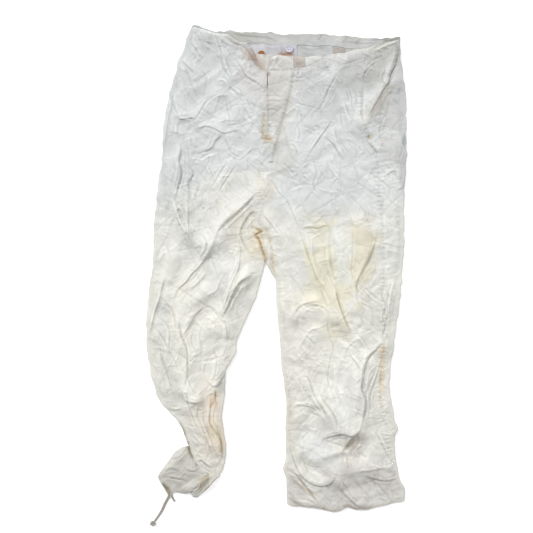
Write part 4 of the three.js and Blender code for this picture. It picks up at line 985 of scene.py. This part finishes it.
# Shader values: an expression on them adds its Math nodes
class Value:
    def __init__(self, tree, socket):
        self.tree, self.socket = tree, socket

    def maths(self, operation, first, second):
        return self.tree.node("ShaderNodeMath", {"operation": operation}, {0: first, 1: second})

    def __add__(self, other):
        return self.maths("ADD", self, other)

    def __radd__(self, other):
        return self.maths("ADD", other, self)

    def __sub__(self, other):
        return self.maths("SUBTRACT", self, other)

    def __rsub__(self, other):
        return self.maths("SUBTRACT", other, self)

    def __mul__(self, other):
        return self.maths("MULTIPLY", self, other)

    def __rmul__(self, other):
        return self.maths("MULTIPLY", other, self)


class Finish:
    def __init__(self, name, **constants):
        self.material = bpy.data.materials.new(name)
        self.material.use_nodes = True
        self.nodes = self.material.node_tree.nodes
        self.links = self.material.node_tree.links
        self.shader = self.nodes["Principled BSDF"]
        for socket, value in constants.items():
            self.shader.inputs[socket.replace("_", " ")].default_value = value

    def node(self, kind, settings=None, sockets=None, output=0):
        node = self.nodes.new(kind)
        for key, value in (settings or {}).items():
            setattr(node, key, value)
        enabled = [socket for socket in node.inputs if socket.enabled]
        for name, value in (sockets or {}).items():
            named = [s for s in enabled if s.name == name]
            socket = enabled[name] if isinstance(name, int) else named[0]
            if isinstance(value, Value):
                self.links.new(value.socket, socket)
            else:
                socket.default_value = value
        return Value(self, node.outputs[output])

    def place(self):
        return self.node("ShaderNodeTexCoord", output=3)

    def noise(self, place, scale, detail, **more):
        return self.node("ShaderNodeTexNoise", {},
                         {"Vector": place, "Scale": scale, "Detail": detail, **more})

    def waves(self, place, direction, scale, **more):
        return self.node("ShaderNodeTexWave", {"bands_direction": direction},
                         {"Vector": place, "Scale": scale, **more})

    def between(self, factor, dark, light):
        return self.node("ShaderNodeMix", {"data_type": "RGBA"},
                         {"Factor": factor, "A": (*linear(dark), 1), "B": (*linear(light), 1)}, output=2)

    def feed(self, socket, value):
        self.links.new(value.socket, self.shader.inputs[socket])

    def feedBump(self, height, strength, distance):
        self.feed("Normal", self.node("ShaderNodeBump", {},
                                      {"Height": height, "Strength": strength, "Distance": distance}))


# Cotton: its colour is on the cloth's points, its weave and finest crumple are here
def cottonFinish(name, roughness=0.88, weave=0.12, crumpleHeight=0.55):
    finish = Finish(name, Sheen_Weight=0.12, Sheen_Roughness=0.6, Specular_IOR_Level=0.25)
    place = finish.place()
    tint = finish.node("ShaderNodeVertexColor", {"layer_name": "tone"})
    blotch = finish.noise(place, 120.0, 4.0, Roughness=0.6)
    warp = finish.waves(place, "X", 330.0, Distortion=1.5, Detail=2.0)
    weft = finish.waves(place, "Y", 360.0, Distortion=1.5, Detail=2.0)
    threads = warp * weft
    shade = 0.955 + 0.06 * blotch + 0.03 * threads
    colour = finish.node("ShaderNodeVectorMath", {"operation": "SCALE"}, {0: tint, "Scale": shade})
    finish.feed("Base Color", colour)
    finish.feed("Roughness", roughness - 0.08 + 0.16 * blotch)
    small = finish.node("ShaderNodeTexVoronoi", {"feature": "SMOOTH_F1"},
                        {"Vector": place, "Scale": 210.0, "Smoothness": 0.35})
    fine = finish.noise(place, 520.0, 5.0, Roughness=0.65)
    finish.feedBump(small * crumpleHeight + fine * 0.35 + threads * weave, 0.32, 0.0012)
    return finish.material


cotton = cottonFinish("aged cotton")

print("panels")
# How finely the pieces are divided, and pairs are across and down
fine = {"rows": 540, "right": 147, "left": 147, "wrap": 48, "turn": 6, "bottom": 45, "back": (44, 170),
        "fly": (22, 116), "backBand": (260, 22), "rightBand": (130, 26), "leftBand": (180, 22),
        "buttonEnd": (56, 16), "underlay": (24, 90), "patch": (14, 14), "hem": (120, 13), "hemUnder": 60}
hair = 0.05  # how far a seam line is kept clear of, so that neighbours don't share a face


# A panel that hangs by the cloth's thickness from its upper face
def layCloth(name, place, top, step=1, paint=None):
    z = sample(top, *place)
    return clothPiece(name, raise3(*place, z), raise3(*place, z - cloth["thickness"]), cotton,
                      step=step, paint=paint)


# At a seam one piece laps over the other: distance is to the seam, rise is positive on the upper piece
def lap(distance, rise, reach=4.5):
    return rise * smoothStep(reach, 1.0, np.abs(distance))


seams = {"over": 0.05, "under": -0.5, "overlap": 2.2, "centreLap": 1.2}
flyFoot, centreFoot = (236, 248), (14, 24)  # heights at which the fly and the centre seam set in
onFly = smoothStep(*flyFoot, gridY)
onCentre = smoothStep(*centreFoot, gridY)
bandSeam = np.where(gridX < rightInner(gridY), rightBandLine(gridX), leftBandLine(gridX)) - gridY
casingSeam = gridY - leftHemLine(gridX) - casingHeight
underBand = lap(bandSeam, seams["under"])
rightTop = frontTop + underBand + lap(rightInner(gridY) - gridX, seams["under"], 6) * onCentre
overUnderlay = {"foot": 250, "side": -48, "top": 5.3}  # the front stays above the fly underlay
lifted = (gridY > overUnderlay["foot"]) & (gridX > overUnderlay["side"])
rightTop = np.where(lifted, np.maximum(rightTop, overUnderlay["top"]), rightTop)
leftTop = frontTop + underBand + lap(casingSeam, seams["under"])
leftTop += (lap(gridX - leftInner(gridY), seams["over"]) * onCentre * (1 - onFly)
            + lap(sideSeam(gridY) - gridX, seams["over"]))
wrapTop = (frontTop + underBand + lap(casingSeam, seams["under"])
           + lap(gridX - sideSeam(gridY), seams["under"]))
bandTop = bandTop + lap(bandSeam, seams["over"])
hemTop = hemTop + lap(casingSeam, seams["over"])


def rightCentre(y):  # under the fly it reaches further
    further = 4 * smoothStep(*flyFoot, y) + seams["centreLap"] * smoothStep(*centreFoot, y)
    return rightInner(y) + further - hair


def leftCentre(y):
    return leftInner(y) - seams["centreLap"] * smoothStep(*centreFoot, y) * smoothStep(244, 232, y) + hair


def casingLine(x):
    return leftHemLine(x) + casingHeight


rightPlan = panelPlan(rightCentre, rightOuter, rightBandLine, lambda x: legEnd - 3 + 0 * x,
                      fine["right"], fine["rows"])
frontRight = layCloth("frontRight", rightPlan, rightTop, step=3)
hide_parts("front_right")

leftPlan = panelPlan(leftCentre, lambda y: sideSeam(y) + seams["overlap"], leftBandLine, casingLine,
                     fine["left"], fine["rows"])
frontLeft = layCloth("frontLeft", leftPlan, leftTop, step=3)
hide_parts("front_left")

# The backs lie on the surface; the left one comes round the side to the seam
backRelief = 0.9 + 0.55 * np.tanh(relief / 2.5)
backLow = np.maximum(0.25 * (backRelief - 0.5), 0)


def sideRise(x, y, line, towards):
    distance = np.clip(towards * (line(y) - x) / 4.0, 0, 1)
    return 1.5 * (1 - np.sqrt(1 - (1 - distance) ** 2))


def backCentre(y, legInner):
    return np.where(y > crotch[1], centreSeam(y), legInner(y))


backPlan = panelPlan(lambda y: backCentre(y, rightInner) - hair, rightOuter, backBandLine,
                     lambda x: legEnd + 0 * x, *fine["back"])
low = sample(backLow, *backPlan) + sideRise(*backPlan, rightOuter, -1)
backRight = clothPiece("backRight", raise3(*backPlan, low + cloth["thickness"]), raise3(*backPlan, low),
                       cotton, paint=backTone)
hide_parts("back_right")

bottomPlan = panelPlan(lambda y: backCentre(y, leftInner) + hair, foldLine, backBandLine, casingLine,
                       fine["bottom"], fine["rows"])
wrapPlan = panelPlan(sideSeam, foldLine, leftBandLine, casingLine, fine["wrap"], fine["rows"])


# The round of a side fold, from one grid's last column to the next grid's first
def foldTurn(start, end, towards, inset):
    turn = []
    for angle in np.linspace(0, math.pi, fine["turn"] + 1)[1:-1]:
        share = 0.5 - 0.5 * math.cos(angle)
        place = start * (1 - share) + end * share
        place[:, 0] += towards * (cloth["fold"] - inset) * math.sin(angle)
        turn.append(place)
    return np.stack(turn, 1)


def backLeftSide(outerFace):
    inset = 0 if outerFace else cloth["thickness"]
    x, y = bottomPlan
    bottom = raise3(x, y, sample(backLow, x, y) * smoothStep(0, 12, foldLine(y) - x) + inset)
    wrapX, wrapY = wrapPlan[0][:, ::-1], wrapPlan[1][:, ::-1]
    top = raise3(wrapX, wrapY, sample(wrapTop, wrapX, wrapY) - inset)
    return np.concatenate([bottom, foldTurn(bottom[:, -1], top[:, 0], 1, inset), top], axis=1)


backLeft = clothPiece("backLeft", backLeftSide(True), backLeftSide(False), cotton,
                      paint=backTone)
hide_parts("back_left")

print("fly and bands")
flyTop = np.maximum(frontTop + 0.4 * smoothStep(16, 2, gridX - rightInner(gridY)), 3.4)
flyPlan = panelPlan(lambda y: rightInner(y) + 0.6,
                    lambda y: np.maximum(leftInner(y), rightInner(y) + 1.2) - hair,
                    leftBandLine, lambda x: 229 + 0 * x, *fine["fly"])
flyOverlap = layCloth("flyOverlap", flyPlan, flyTop)
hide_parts("fly_overlap")


def bandPlan(head, foot, headSpan, footSpan, across, down):
    u = np.linspace(0, 1, across + 1)
    v = np.linspace(0, 1, down + 1)[:, None]
    headX = headSpan[0] + u * (headSpan[1] - headSpan[0])
    footX = footSpan[0] + u * (footSpan[1] - footSpan[0])
    return headX * (1 - v) + footX * v, head(headX) * (1 - v) + foot(footX) * v


backBandPlan = bandPlan(backWaistLine, backBandLine, (-184, 272), (-199, 271), *fine["backBand"])
inside = 0.8 + np.clip(0.8 + insideRelief, 0, 2.2) * smoothStep(-4, 4, gridY - waistLine)
backBand = layCloth("backBand", backBandPlan, inside + 0.1, paint=insideTone)
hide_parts("waistband_back")

rightBandPlan = bandPlan(rightWaistLine, lambda x: rightBandLine(x) - seams["overlap"],
                         (-21, -184), (-20.5, -200), *fine["rightBand"])
rightBand = layCloth("rightFrontBand", rightBandPlan, bandTop)
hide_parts("waistband_front_right")

leftBandPlan = bandPlan(leftWaistLine, lambda x: leftBandLine(x) - seams["overlap"],
                        (-12, 271), (-19, 271.5), *fine["leftBand"])
leftBand = layCloth("leftFrontBand", leftBandPlan, bandTop)
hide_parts("waistband_front_left")

print("waist layers")


# A flat sheet between four corners, on a floor of its own or with a thickness
def flatSheet(name, corners, across, down, top, thickness, slot, tint=None, paint=None, floor=None):
    u = np.linspace(0, 1, across + 1)[None, :, None]
    v = np.linspace(0, 1, down + 1)[:, None, None]
    headLeft, headRight, footRight, footLeft = [np.array(corner, float) for corner in corners]
    place = (headLeft * (1 - u) + headRight * u) * (1 - v) + (footLeft * (1 - u) + footRight * u) * v
    x, y = place[..., 0], place[..., 1]
    z = top(x, y)
    low = z - thickness if floor is None else floor(x, y)
    return clothPiece(name, raise3(x, y, np.maximum(z, low + 0.2)), raise3(x, y, low), cotton,
                      tint=tint, paint=paint)


underlap = {"corners": [(-67, 493), (45, 493), (45, 464), (-67, 463)], "top": 2.9, "bend": 0.5,
            "tint": (1.0, 0.995, 1.03)}


def underlapTop(x, y):  # it slopes down to its upper edge and to its end
    bent = underlap["top"] + underlap["bend"] * sample(insideRelief, x, y)
    return bent - 1.2 * smoothStep(483, 494, y) - 1.0 * smoothStep(34, 46, x)


underlapPiece = flatSheet("buttonEnd", underlap["corners"], *fine["buttonEnd"], underlapTop,
                          cloth["thickness"], "band_cloth", tint=underlap["tint"], paint=insideTone,
                          floor=lambda x, y: sample(inside, x, y) + 0.02)
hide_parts("waistband_underlap")

underlay = {"corners": [(-46, 471), (12, 469), (-10, 248), (-42, 250)], "top": 4.6, "button": (-33, 471),
            "tint": (0.975, 0.953, 0.93)}


def underlayTop(x, y):  # a rise under the fly button, and below the band it stays under the fly
    toButton = np.hypot(x - underlay["button"][0], y - underlay["button"][1])
    free = underlay["top"] + 0.7 * smoothStep(26, 11, toButton) + 0.25 * np.tanh(sample(relief, x + 80, y))
    return np.minimum(free, np.maximum(sample(frontTop, x, y) - 1.6, 1.9) + 6 * smoothStep(425, 440, y))


underlayPiece = flatSheet("flyUnderlay", underlay["corners"], *fine["underlay"], underlayTop,
                          cloth["thickness"], "fly_cloth", tint=underlay["tint"])
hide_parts("fly_underlay")

# Each square: its corners, the face it lies on, the part it replaces and its tint
patches = {
    "rightPatch": ([(-78, 481), (-54, 483), (-42, 456), (-74, 459)], bandTop, "patch_right",
                   (0.94, 0.91, 0.89)),
    "leftPatch": ([(36, 467), (63, 466), (63, 441), (37, 441)], bandTop, "patch_left",
                  (0.885, 0.85, 0.835)),
    "backPatch": ([(124, 487), (151, 485), (151, 457), (124, 457)], inside + 0.3, "patch_back",
                  (0.9, 0.855, 0.835)),
}
patchRise, patchThickness = 0.35, 0.4
for name, (corners, under, node, tint) in patches.items():
    patch = flatSheet(name, corners, *fine["patch"], lambda x, y: sample(under, x, y) + patchRise,
                      patchThickness, "patch_cloth", tint=tint)
    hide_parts(node)

print("hem and ankle")


def hemSide(outerFace):
    inset = 0 if outerFace else cloth["thickness"]
    across, down = fine["hem"]
    v = np.linspace(0, 1, down)[:, None]
    def strip(u):
        y = np.full((down, len(u)), -500.0)  # near the hem, to begin with
        for _ in range(settleRounds):
            x = leftInner(y) + cloth["fold"] + u * (foldLine(y) - leftInner(y) - cloth["fold"])
            y = leftHemLine(x) + (casingHeight + seams["overlap"]) * (1 - v)
        return x, y
    topX, topY = strip(np.linspace(0, 1, across))
    lowX, lowY = strip(np.linspace(1, 0, fine["hemUnder"]))
    top = raise3(topX, topY, sample(hemTop, topX, topY) - inset)
    low = raise3(lowX, lowY, 0 * lowX + inset)
    return np.concatenate([top, foldTurn(top[:, -1], low[:, 0], 1, inset),
                           low, foldTurn(low[:, -1], top[:, 0], -1, inset)], axis=1)


hem = clothPiece("hemCasing", hemSide(True), hemSide(False), cotton, loop=True)
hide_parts("hem_left")

# The gathered ankle: its skin goes from the leg's end to the rim, over a crest
ankle = {"across": 260, "down": 56, "gathers": 22, "depth": 0.9, "seed": 301}
ankleRim = [  # x, y, crest height
    (-207, -392, 5), (-213, -396, 7), (-222, -401, 9), (-228, -409, 12), (-233, -417, 14),
    (-246, -434, 16), (-258, -450, 15), (-261, -457, 14), (-258, -465, 12), (-254, -473, 10),
    (-248, -481, 7), (-240, -496, 4.5), (-229, -497, 4.5), (-224, -490, 8), (-213, -493, 12),
    (-200, -495, 14), (-187, -493, 12), (-185, -502, 7), (-174, -504, 6), (-165, -496, 10),
    (-153, -486, 12), (-145, -478, 10), (-136, -467, 7), (-124, -457, 5),
]
legSide = [(float(rightOuter(y)), y, z) for y, z in ((-390, 6), (-411, 9), (-431, 12))]
legSide += [(-149, legEnd, 13.5), (-137, legEnd, 12), (-125, legEnd, 5)]


def along(points, share, soften):
    places = np.linspace(0, 1, len(points))
    dense = np.linspace(0, 1, 801)
    columns = [np.interp(dense, places, [p[n] for p in points]) for n in range(3)]
    weights = np.exp(-0.5 * (np.arange(-40, 41) / soften) ** 2)
    weights /= weights.sum()
    columns = [np.convolve(np.pad(column, 40, mode="reflect", reflect_type="odd"), weights, mode="valid")
               for column in columns]
    return [np.interp(share, dense, c) for c in columns]


u = np.linspace(0, 1, ankle["across"] + 1)[None, :]
v = np.linspace(0, 1, ankle["down"] + 1)[:, None]
nearX, nearY, nearZ = along(legSide, u, 6)
farX, farY, farZ = along(ankleRim, u, 5)
ankleX, ankleY = nearX + (farX - nearX) * v, nearY + (farY - nearY) * v
random = np.random.default_rng(ankle["seed"])
steps = np.cumsum(random.uniform(0.5, 1.5, ankle["gathers"] + 1))
phase = np.interp(u * ankle["gathers"], np.arange(ankle["gathers"] + 1), steps)
gather = np.abs(np.sin(math.pi * phase)) ** 0.7 - 0.6
ankleProfile = [  # share of the way to the rim, height as a share of the crest
    (0, 0.75), (0.15, 0.9), (0.4, 1), (0.62, 0.97), (0.8, 0.8), (0.91, 0.58), (0.965, 0.4), (1, 0.22),
]
profile = np.interp(v, *zip(*ankleProfile))
crest = nearZ + (farZ - nearZ) * smoothStep(0, 0.6, v)
ankleZ = crest * profile + gather * ankle["depth"] * smoothStep(0.55, 0.95, v) * profile
ankleZ = np.maximum(ankleZ + 1.0 * sample(relief, ankleX, ankleY) * smoothStep(1.02, 0.9, v), 1.2)
cuff = clothPiece("ankleCasing", raise3(ankleX, ankleY, ankleZ), raise3(ankleX, ankleY, 0.0 * ankleZ),
                  cotton)
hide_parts("cuff_right")

tape = {"width": 6.2, "thickness": 1.5, "rings": 44, "sides": 12}
tapeRoute = [
    (-236, -496, 2.2), (-236.4, -501, 2.0), (-239.5, -507, 1.5), (-244, -515, 1.2), (-249, -526, 1.1),
    (-254, -536, 1.1), (-260.5, -545.5, 1.2), (-267.2, -555.1, 1.6),
]
stubRoute = [(-229.9, -496.5, 2.2), (-229.6, -501, 1.9), (-227, -507, 1.4), (-223, -512, 1.2)]
knotRoute = [
    (-266.5, -554.0, 2.0), (-272.5, -557.5, 3.4), (-273.5, -562.5, 4.4), (-268.5, -562.8, 4.6),
    (-267.6, -557.5, 4.4), (-272.0, -556.0, 3.2), (-275.4, -559.5, 2.2), (-271.6, -564.5, 1.9),
    (-267.0, -561.5, 2.0), (-271.0, -559.0, 2.4), (-275.5, -561.5, 1.9), (-277.0, -563.5, 1.6),
]


# A tube with an oval section along a route, and the line through its middle
def tubePiece(name, route, width, thickness, rings, sides, material, narrow=None):
    route = np.array(route, float)
    padded = np.vstack([2 * route[0] - route[1], route, 2 * route[-1] - route[-2]])
    share = np.linspace(0, len(route) - 1 - 1e-6, rings)
    i = share.astype(int)
    t = (share - i)[:, None]
    centre = curve(padded[i], padded[i + 1], padded[i + 2], padded[i + 3], t)
    forward = np.gradient(centre, axis=0)
    forward /= np.linalg.norm(forward, axis=1)[:, None]
    across = np.cross(forward, [0, 0, 1.0])
    across /= np.linalg.norm(across, axis=1)[:, None]
    up = np.cross(across, forward)
    angles = np.linspace(0, 2 * math.pi, sides, endpoint=False)
    size = np.ones(rings) if narrow is None else narrow(np.linspace(0, 1, rings))
    wide = np.cos(angles) * width / 2
    high = np.sign(np.sin(angles)) * np.abs(np.sin(angles)) ** 0.6 * thickness / 2
    ring = across[:, None] * wide[None, :, None] * size[:, None, None] + up[:, None] * high[None, :, None]
    points = (centre[:, None] + ring).reshape(-1, 3)
    faces = []
    for j in range(rings - 1):
        for k in range(sides):
            n = (k + 1) % sides
            faces.append((j * sides + k, j * sides + n, (j + 1) * sides + n, (j + 1) * sides + k))
    faces.append(tuple(range(sides - 1, -1, -1)))
    faces.append(tuple((rings - 1) * sides + k for k in range(sides)))
    mesh = bpy.data.meshes.new(name)
    mesh.from_pydata((points * mm).tolist(), [], faces)
    mesh.materials.append(material)
    piece = bpy.data.objects.new(name, mesh)
    bpy.context.scene.collection.objects.link(piece)
    onlySelect(piece)
    bpy.ops.object.mode_set(mode="EDIT")
    bpy.ops.mesh.select_all(action="SELECT")
    bpy.ops.mesh.normals_make_consistent(inside=False)
    bpy.ops.object.mode_set(mode="OBJECT")
    smoothByAngle(piece, 50)
    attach(piece, "root")
    return piece, centre * mm


tapeCloth = Finish("tape", Roughness=0.9, Sheen_Weight=0.1)
grain = tapeCloth.noise(tapeCloth.place(), 420.0, 4.0)
ribs = tapeCloth.waves(tapeCloth.place(), "DIAGONAL", 420.0, Distortion=2.0)
tapeCloth.feed("Base Color", tapeCloth.between(grain, [0.52, 0.50, 0.47], [0.70, 0.68, 0.64]))
tapeCloth.feedBump(ribs + grain, 0.5, 0.0004)
tapePiece, tapePath = tubePiece(
    "ankleTape", tapeRoute, tape["width"], tape["thickness"], tape["rings"], tape["sides"],
    tapeCloth.material, lambda t: 1 - 0.25 * smoothStep(0.5, 1, t))
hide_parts("ankle_tape")
stubPiece, _ = tubePiece("tapeEnd", stubRoute, 4.6, 1.5, 16, 12, tapeCloth.material)
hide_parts("tape_stub")
knotPiece, _ = tubePiece("tapeKnot", knotRoute, 3.8, 3.0, 80, 10, tapeCloth.material)
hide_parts("tape_knot")

print("buttons")


# A round button with a sunken middle. Holes are four, at their distance from the middle in x and in y.
def buttonPiece(name, size, material):
    height, rim, holes = size["height"], size["rim"], size["holes"]
    x, y, z = size["place"]
    bpy.ops.object.select_all(action="DESELECT")
    bpy.ops.mesh.primitive_cylinder_add(vertices=56, radius=size["diameter"] / 2 * mm, depth=height * mm)
    piece = bpy.context.object
    piece.name = name
    bpy.ops.object.mode_set(mode="EDIT")
    bpy.ops.mesh.select_all(action="DESELECT")
    bpy.ops.object.mode_set(mode="OBJECT")
    for face in piece.data.polygons:
        face.select = face.normal.z > 0.9
    bpy.ops.object.mode_set(mode="EDIT")
    bpy.ops.mesh.inset(thickness=rim * mm)
    bpy.ops.mesh.inset(thickness=0.35 * rim * mm)
    bpy.ops.transform.translate(value=(0, 0, -0.3 * height * mm))
    bpy.ops.object.mode_set(mode="OBJECT")
    if holes:
        for sideX in (-1, 1):
            for sideY in (-1, 1):
                bpy.ops.mesh.primitive_cylinder_add(
                    vertices=20, radius=0.85 * mm, depth=4 * height * mm,
                    location=(sideX * holes * mm, sideY * holes * mm, 0))
                drill = bpy.context.object
                cut = piece.modifiers.new("hole", "BOOLEAN")
                cut.operation, cut.object, cut.solver = "DIFFERENCE", drill, "EXACT"
                onlySelect(piece)
                bpy.ops.object.modifier_apply(modifier="hole")
                bpy.data.objects.remove(drill)
    bevel = piece.modifiers.new("rounding", "BEVEL")
    bevel.width, bevel.segments = 0.25 * mm, 3
    bevel.limit_method, bevel.angle_limit = "ANGLE", math.radians(28)
    onlySelect(piece)
    bpy.ops.object.modifier_apply(modifier="rounding")
    piece.location = (x * mm, y * mm, (z + height / 2) * mm)
    bpy.ops.object.transform_apply(location=True, rotation=True, scale=True)
    piece.data.materials.append(material)
    smoothByAngle(piece, 32)
    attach(piece, "root")
    return piece


def buttonFinish(name, dark, light, roughness):
    finish = Finish(name, Coat_Weight=0.25, Coat_Roughness=0.25)
    clouds = finish.noise(finish.place(), 260.0, 5.0, Distortion=1.2)
    finish.feed("Base Color", finish.between(clouds, dark, light))
    finish.feed("Roughness", roughness + 0.25 * clouds)
    return finish.material


waistButton = {"diameter": 17, "height": 2.6, "place": (27.5, 483, 3.5), "rim": 2.0, "holes": 2.4}
whiteFinish = buttonFinish("pale button", [0.74, 0.72, 0.78], [0.88, 0.87, 0.92], 0.3)
whiteButton = buttonPiece("waistButton", waistButton, whiteFinish)
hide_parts("waist_button")
flyButton = {"diameter": 15, "height": 1.5, "place": (*underlay["button"], 3.5), "rim": 1.6, "holes": 0}
brownFinish = buttonFinish("horn button", [0.42, 0.24, 0.12], [0.72, 0.48, 0.28], 0.4)
brownButton = buttonPiece("flyButton", flyButton, brownFinish)
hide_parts("fly_button")

print("stitches")
thread = {"length": 2.7, "gap": 1.4, "diameter": 0.5, "proud": 0.05}
threadFinish = Finish("sewing thread", Roughness=0.85, Sheen_Weight=0.1)
plies = threadFinish.noise(threadFinish.place(), 900.0, 3.0)
threadFinish.feed("Base Color", threadFinish.between(plies, [0.73, 0.71, 0.66], [0.83, 0.81, 0.76]))


def stitchShape():
    bpy.ops.object.select_all(action="DESELECT")
    bpy.ops.mesh.primitive_uv_sphere_add(segments=6, ring_count=5, radius=0.5, rotation=(0, math.pi / 2, 0))
    pattern = bpy.context.object
    bpy.ops.object.transform_apply(location=True, rotation=True, scale=True)
    points = np.array([v.co for v in pattern.data.vertices])
    points[:, 0] = np.sign(points[:, 0]) * np.abs(2 * points[:, 0]) ** 0.6 / 2  # blunter ends
    faces = [tuple(face.vertices) for face in pattern.data.polygons]
    bpy.data.objects.remove(pattern)
    return points, faces


stitchPoints, stitchFaces = stitchShape()
stitches = []  # x, y, z, direction, slope, length


def sewAlong(path, under, seed, wander=0.25):
    random = np.random.default_rng(seed)
    points = smoothPath(path, 3.0)
    runs = np.hypot(*np.diff(points, axis=0).T)
    arc = np.concatenate([[0], np.cumsum(runs)])
    pitch = thread["length"] + thread["gap"]
    for start in np.arange(0.5, arc[-1] - thread["length"], pitch):
        ends = [np.array([np.interp(a, arc, points[:, 0]), np.interp(a, arc, points[:, 1])])
                for a in (start, start + thread["length"])]
        middle = (ends[0] + ends[1]) / 2 + random.normal(0, wander, 2)
        run = ends[1] - ends[0]
        heights = [float(sample(under, *end[:, None])[0]) for end in ends]
        stitches.append((*middle, sum(heights) / 2 + thread["proud"], math.atan2(run[1], run[0]),
                         math.atan2(heights[1] - heights[0], thread["length"]), thread["length"]))


sewnLines = [  # path, the face it is sewn on
    (alongY(sideSeam, 470, -484, -1.6), leftTop),
    (alongY(leftInner, 425, 246, 3.0), leftTop),
    (alongY(leftInner, 425, 246, 6.0), leftTop),
    (alongY(rightInner, 425, 246, 4.0), flyTop),
    (alongY(leftInner, 226, 34, 1.6), leftTop),
    (alongY(leftInner, 226, 34, 5.0), leftTop),
    (alongY(leftInner, -235, -470, 9.0), leftTop),
    (alongX(leftWaistLine, -2, 264, -3.5), bandTop),
    (alongX(leftBandLine, -10, 264, 0.4), bandTop),
    (alongX(rightWaistLine, -178, -66, -3.5), bandTop),
    (alongX(rightBandLine, -190, -84, 0.4), bandTop),
    (alongX(backWaistLine, -176, 262, -3.5), inside + 0.1),
    (alongX(leftHemLine, 30, 270, casingHeight - 0.4), hemTop),
    (alongX(leftHemLine, 30, 270, 4.0), hemTop),
]
for number, (path, under) in enumerate(sewnLines):
    sewAlong(path, under, number + 1)
for corners, under, _, _ in patches.values():
    middle = np.mean(corners, axis=0)
    ring = [tuple(middle + 0.84 * (np.array(corner) - middle)) for corner in corners]
    for first, second in zip(ring, ring[1:] + ring[:1]):
        sewAlong([first, second], under + patchRise, 20, wander=0.1)
buttonhole = {"x": 49.5, "y": 450, "length": 15, "turn": 0.35, "pitch": 0.95, "half": 1.3, "rise": 0.75}
turnX, turnY = math.cos(buttonhole["turn"]), math.sin(buttonhole["turn"])
for n in range(int(buttonhole["length"] / buttonhole["pitch"])):
    for side in (-1, 1):
        step, aside = (n - 7.5) * buttonhole["pitch"], side * buttonhole["half"]
        x = buttonhole["x"] + step * turnX - aside * turnY
        y = buttonhole["y"] + step * turnY + aside * turnX
        z = float(sample(bandTop, x, y)) + buttonhole["rise"]
        stitches.append((x, y, z, buttonhole["turn"] + math.pi / 2, 0, 2.0))
barTack = {"start": (-16.5, 233.5), "step": (0.75, 0.1), "count": 13, "length": 3.4, "rise": 0.35}
for n in range(barTack["count"]):
    x, y = [start + step * n for start, step in zip(barTack["start"], barTack["step"])]
    z = float(sample(leftTop, x, y)) + barTack["rise"]
    stitches.append((x, y, z, math.pi / 2, 0, barTack["length"]))
allPoints, allFaces = [], []
for x, y, z, turn, tilt, length in stitches:
    local = stitchPoints * (length, thread["diameter"], thread["diameter"])
    start = len(allPoints) * len(stitchPoints)
    placed = np.empty_like(local)
    placed[:, 0] = x + local[:, 0] * math.cos(turn) - local[:, 1] * math.sin(turn)
    placed[:, 1] = y + local[:, 0] * math.sin(turn) + local[:, 1] * math.cos(turn)
    placed[:, 2] = z + local[:, 2] + local[:, 0] * math.tan(tilt)
    allPoints.append(placed)
    allFaces += [tuple(start + n for n in face) for face in stitchFaces]
stitchMesh = bpy.data.meshes.new("stitches")
stitchMesh.from_pydata((np.concatenate(allPoints) * mm).tolist(), [], allFaces)
stitchMesh.materials.append(threadFinish.material)
stitchPiece = bpy.data.objects.new("stitches", stitchMesh)
bpy.context.scene.collection.objects.link(stitchPiece)
smoothByAngle(stitchPiece, 60)
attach(stitchPiece, "root")
print(len(stitches), "stitches")

print("stage")
floorSize = 3.0
bpy.ops.object.select_all(action="DESELECT")
bpy.ops.mesh.primitive_plane_add(size=floorSize, location=(0, 0, -0.0004))
floor = bpy.context.object
floor.name = "floor"
floorFinish = Finish("paper floor", Roughness=1.0, Specular_IOR_Level=0.0)
floorFinish.shader.inputs["Base Color"].default_value = (0.97, 0.97, 0.97, 1)
floorFinish.shader.inputs["Emission Color"].default_value = (1, 1, 1, 1)
floorFinish.shader.inputs["Emission Strength"].default_value = 0.3
floor.data.materials.append(floorFinish.material)

light = {
    "world": 0.44,
    "suns": [("key", 2.25, 0.3, 55, 222), ("fill", 1.1, 0.4, 55, 128)],  # name, strength, size, tilt, turn
}
world = bpy.data.worlds.new("studio")
bpy.context.scene.world = world
world.use_nodes = True
world.node_tree.nodes["Background"].inputs["Color"].default_value = (1, 1, 1, 1)
world.node_tree.nodes["Background"].inputs["Strength"].default_value = light["world"]
for name, strength, size, tilt, turn in light["suns"]:
    lamp = bpy.data.lights.new(name, "SUN")
    lamp.energy, lamp.angle = strength, size
    lampObject = bpy.data.objects.new(name, lamp)
    bpy.context.scene.collection.objects.link(lampObject)
    lampObject.rotation_euler = (math.radians(tilt), 0, math.radians(turn))

camera = {"lens": 70, "height": 2.28, "centre": (-0.022, 0.0044)}
cameraData = bpy.data.cameras.new("camera")
cameraData.lens = camera["lens"]
cameraData.sensor_width = 36
cameraObject = bpy.data.objects.new("camera", cameraData)
bpy.context.scene.collection.objects.link(cameraObject)
cameraObject.location = (*camera["centre"], camera["height"])
bpy.context.scene.camera = cameraObject
bpy.context.scene.view_settings.view_transform = "Standard"
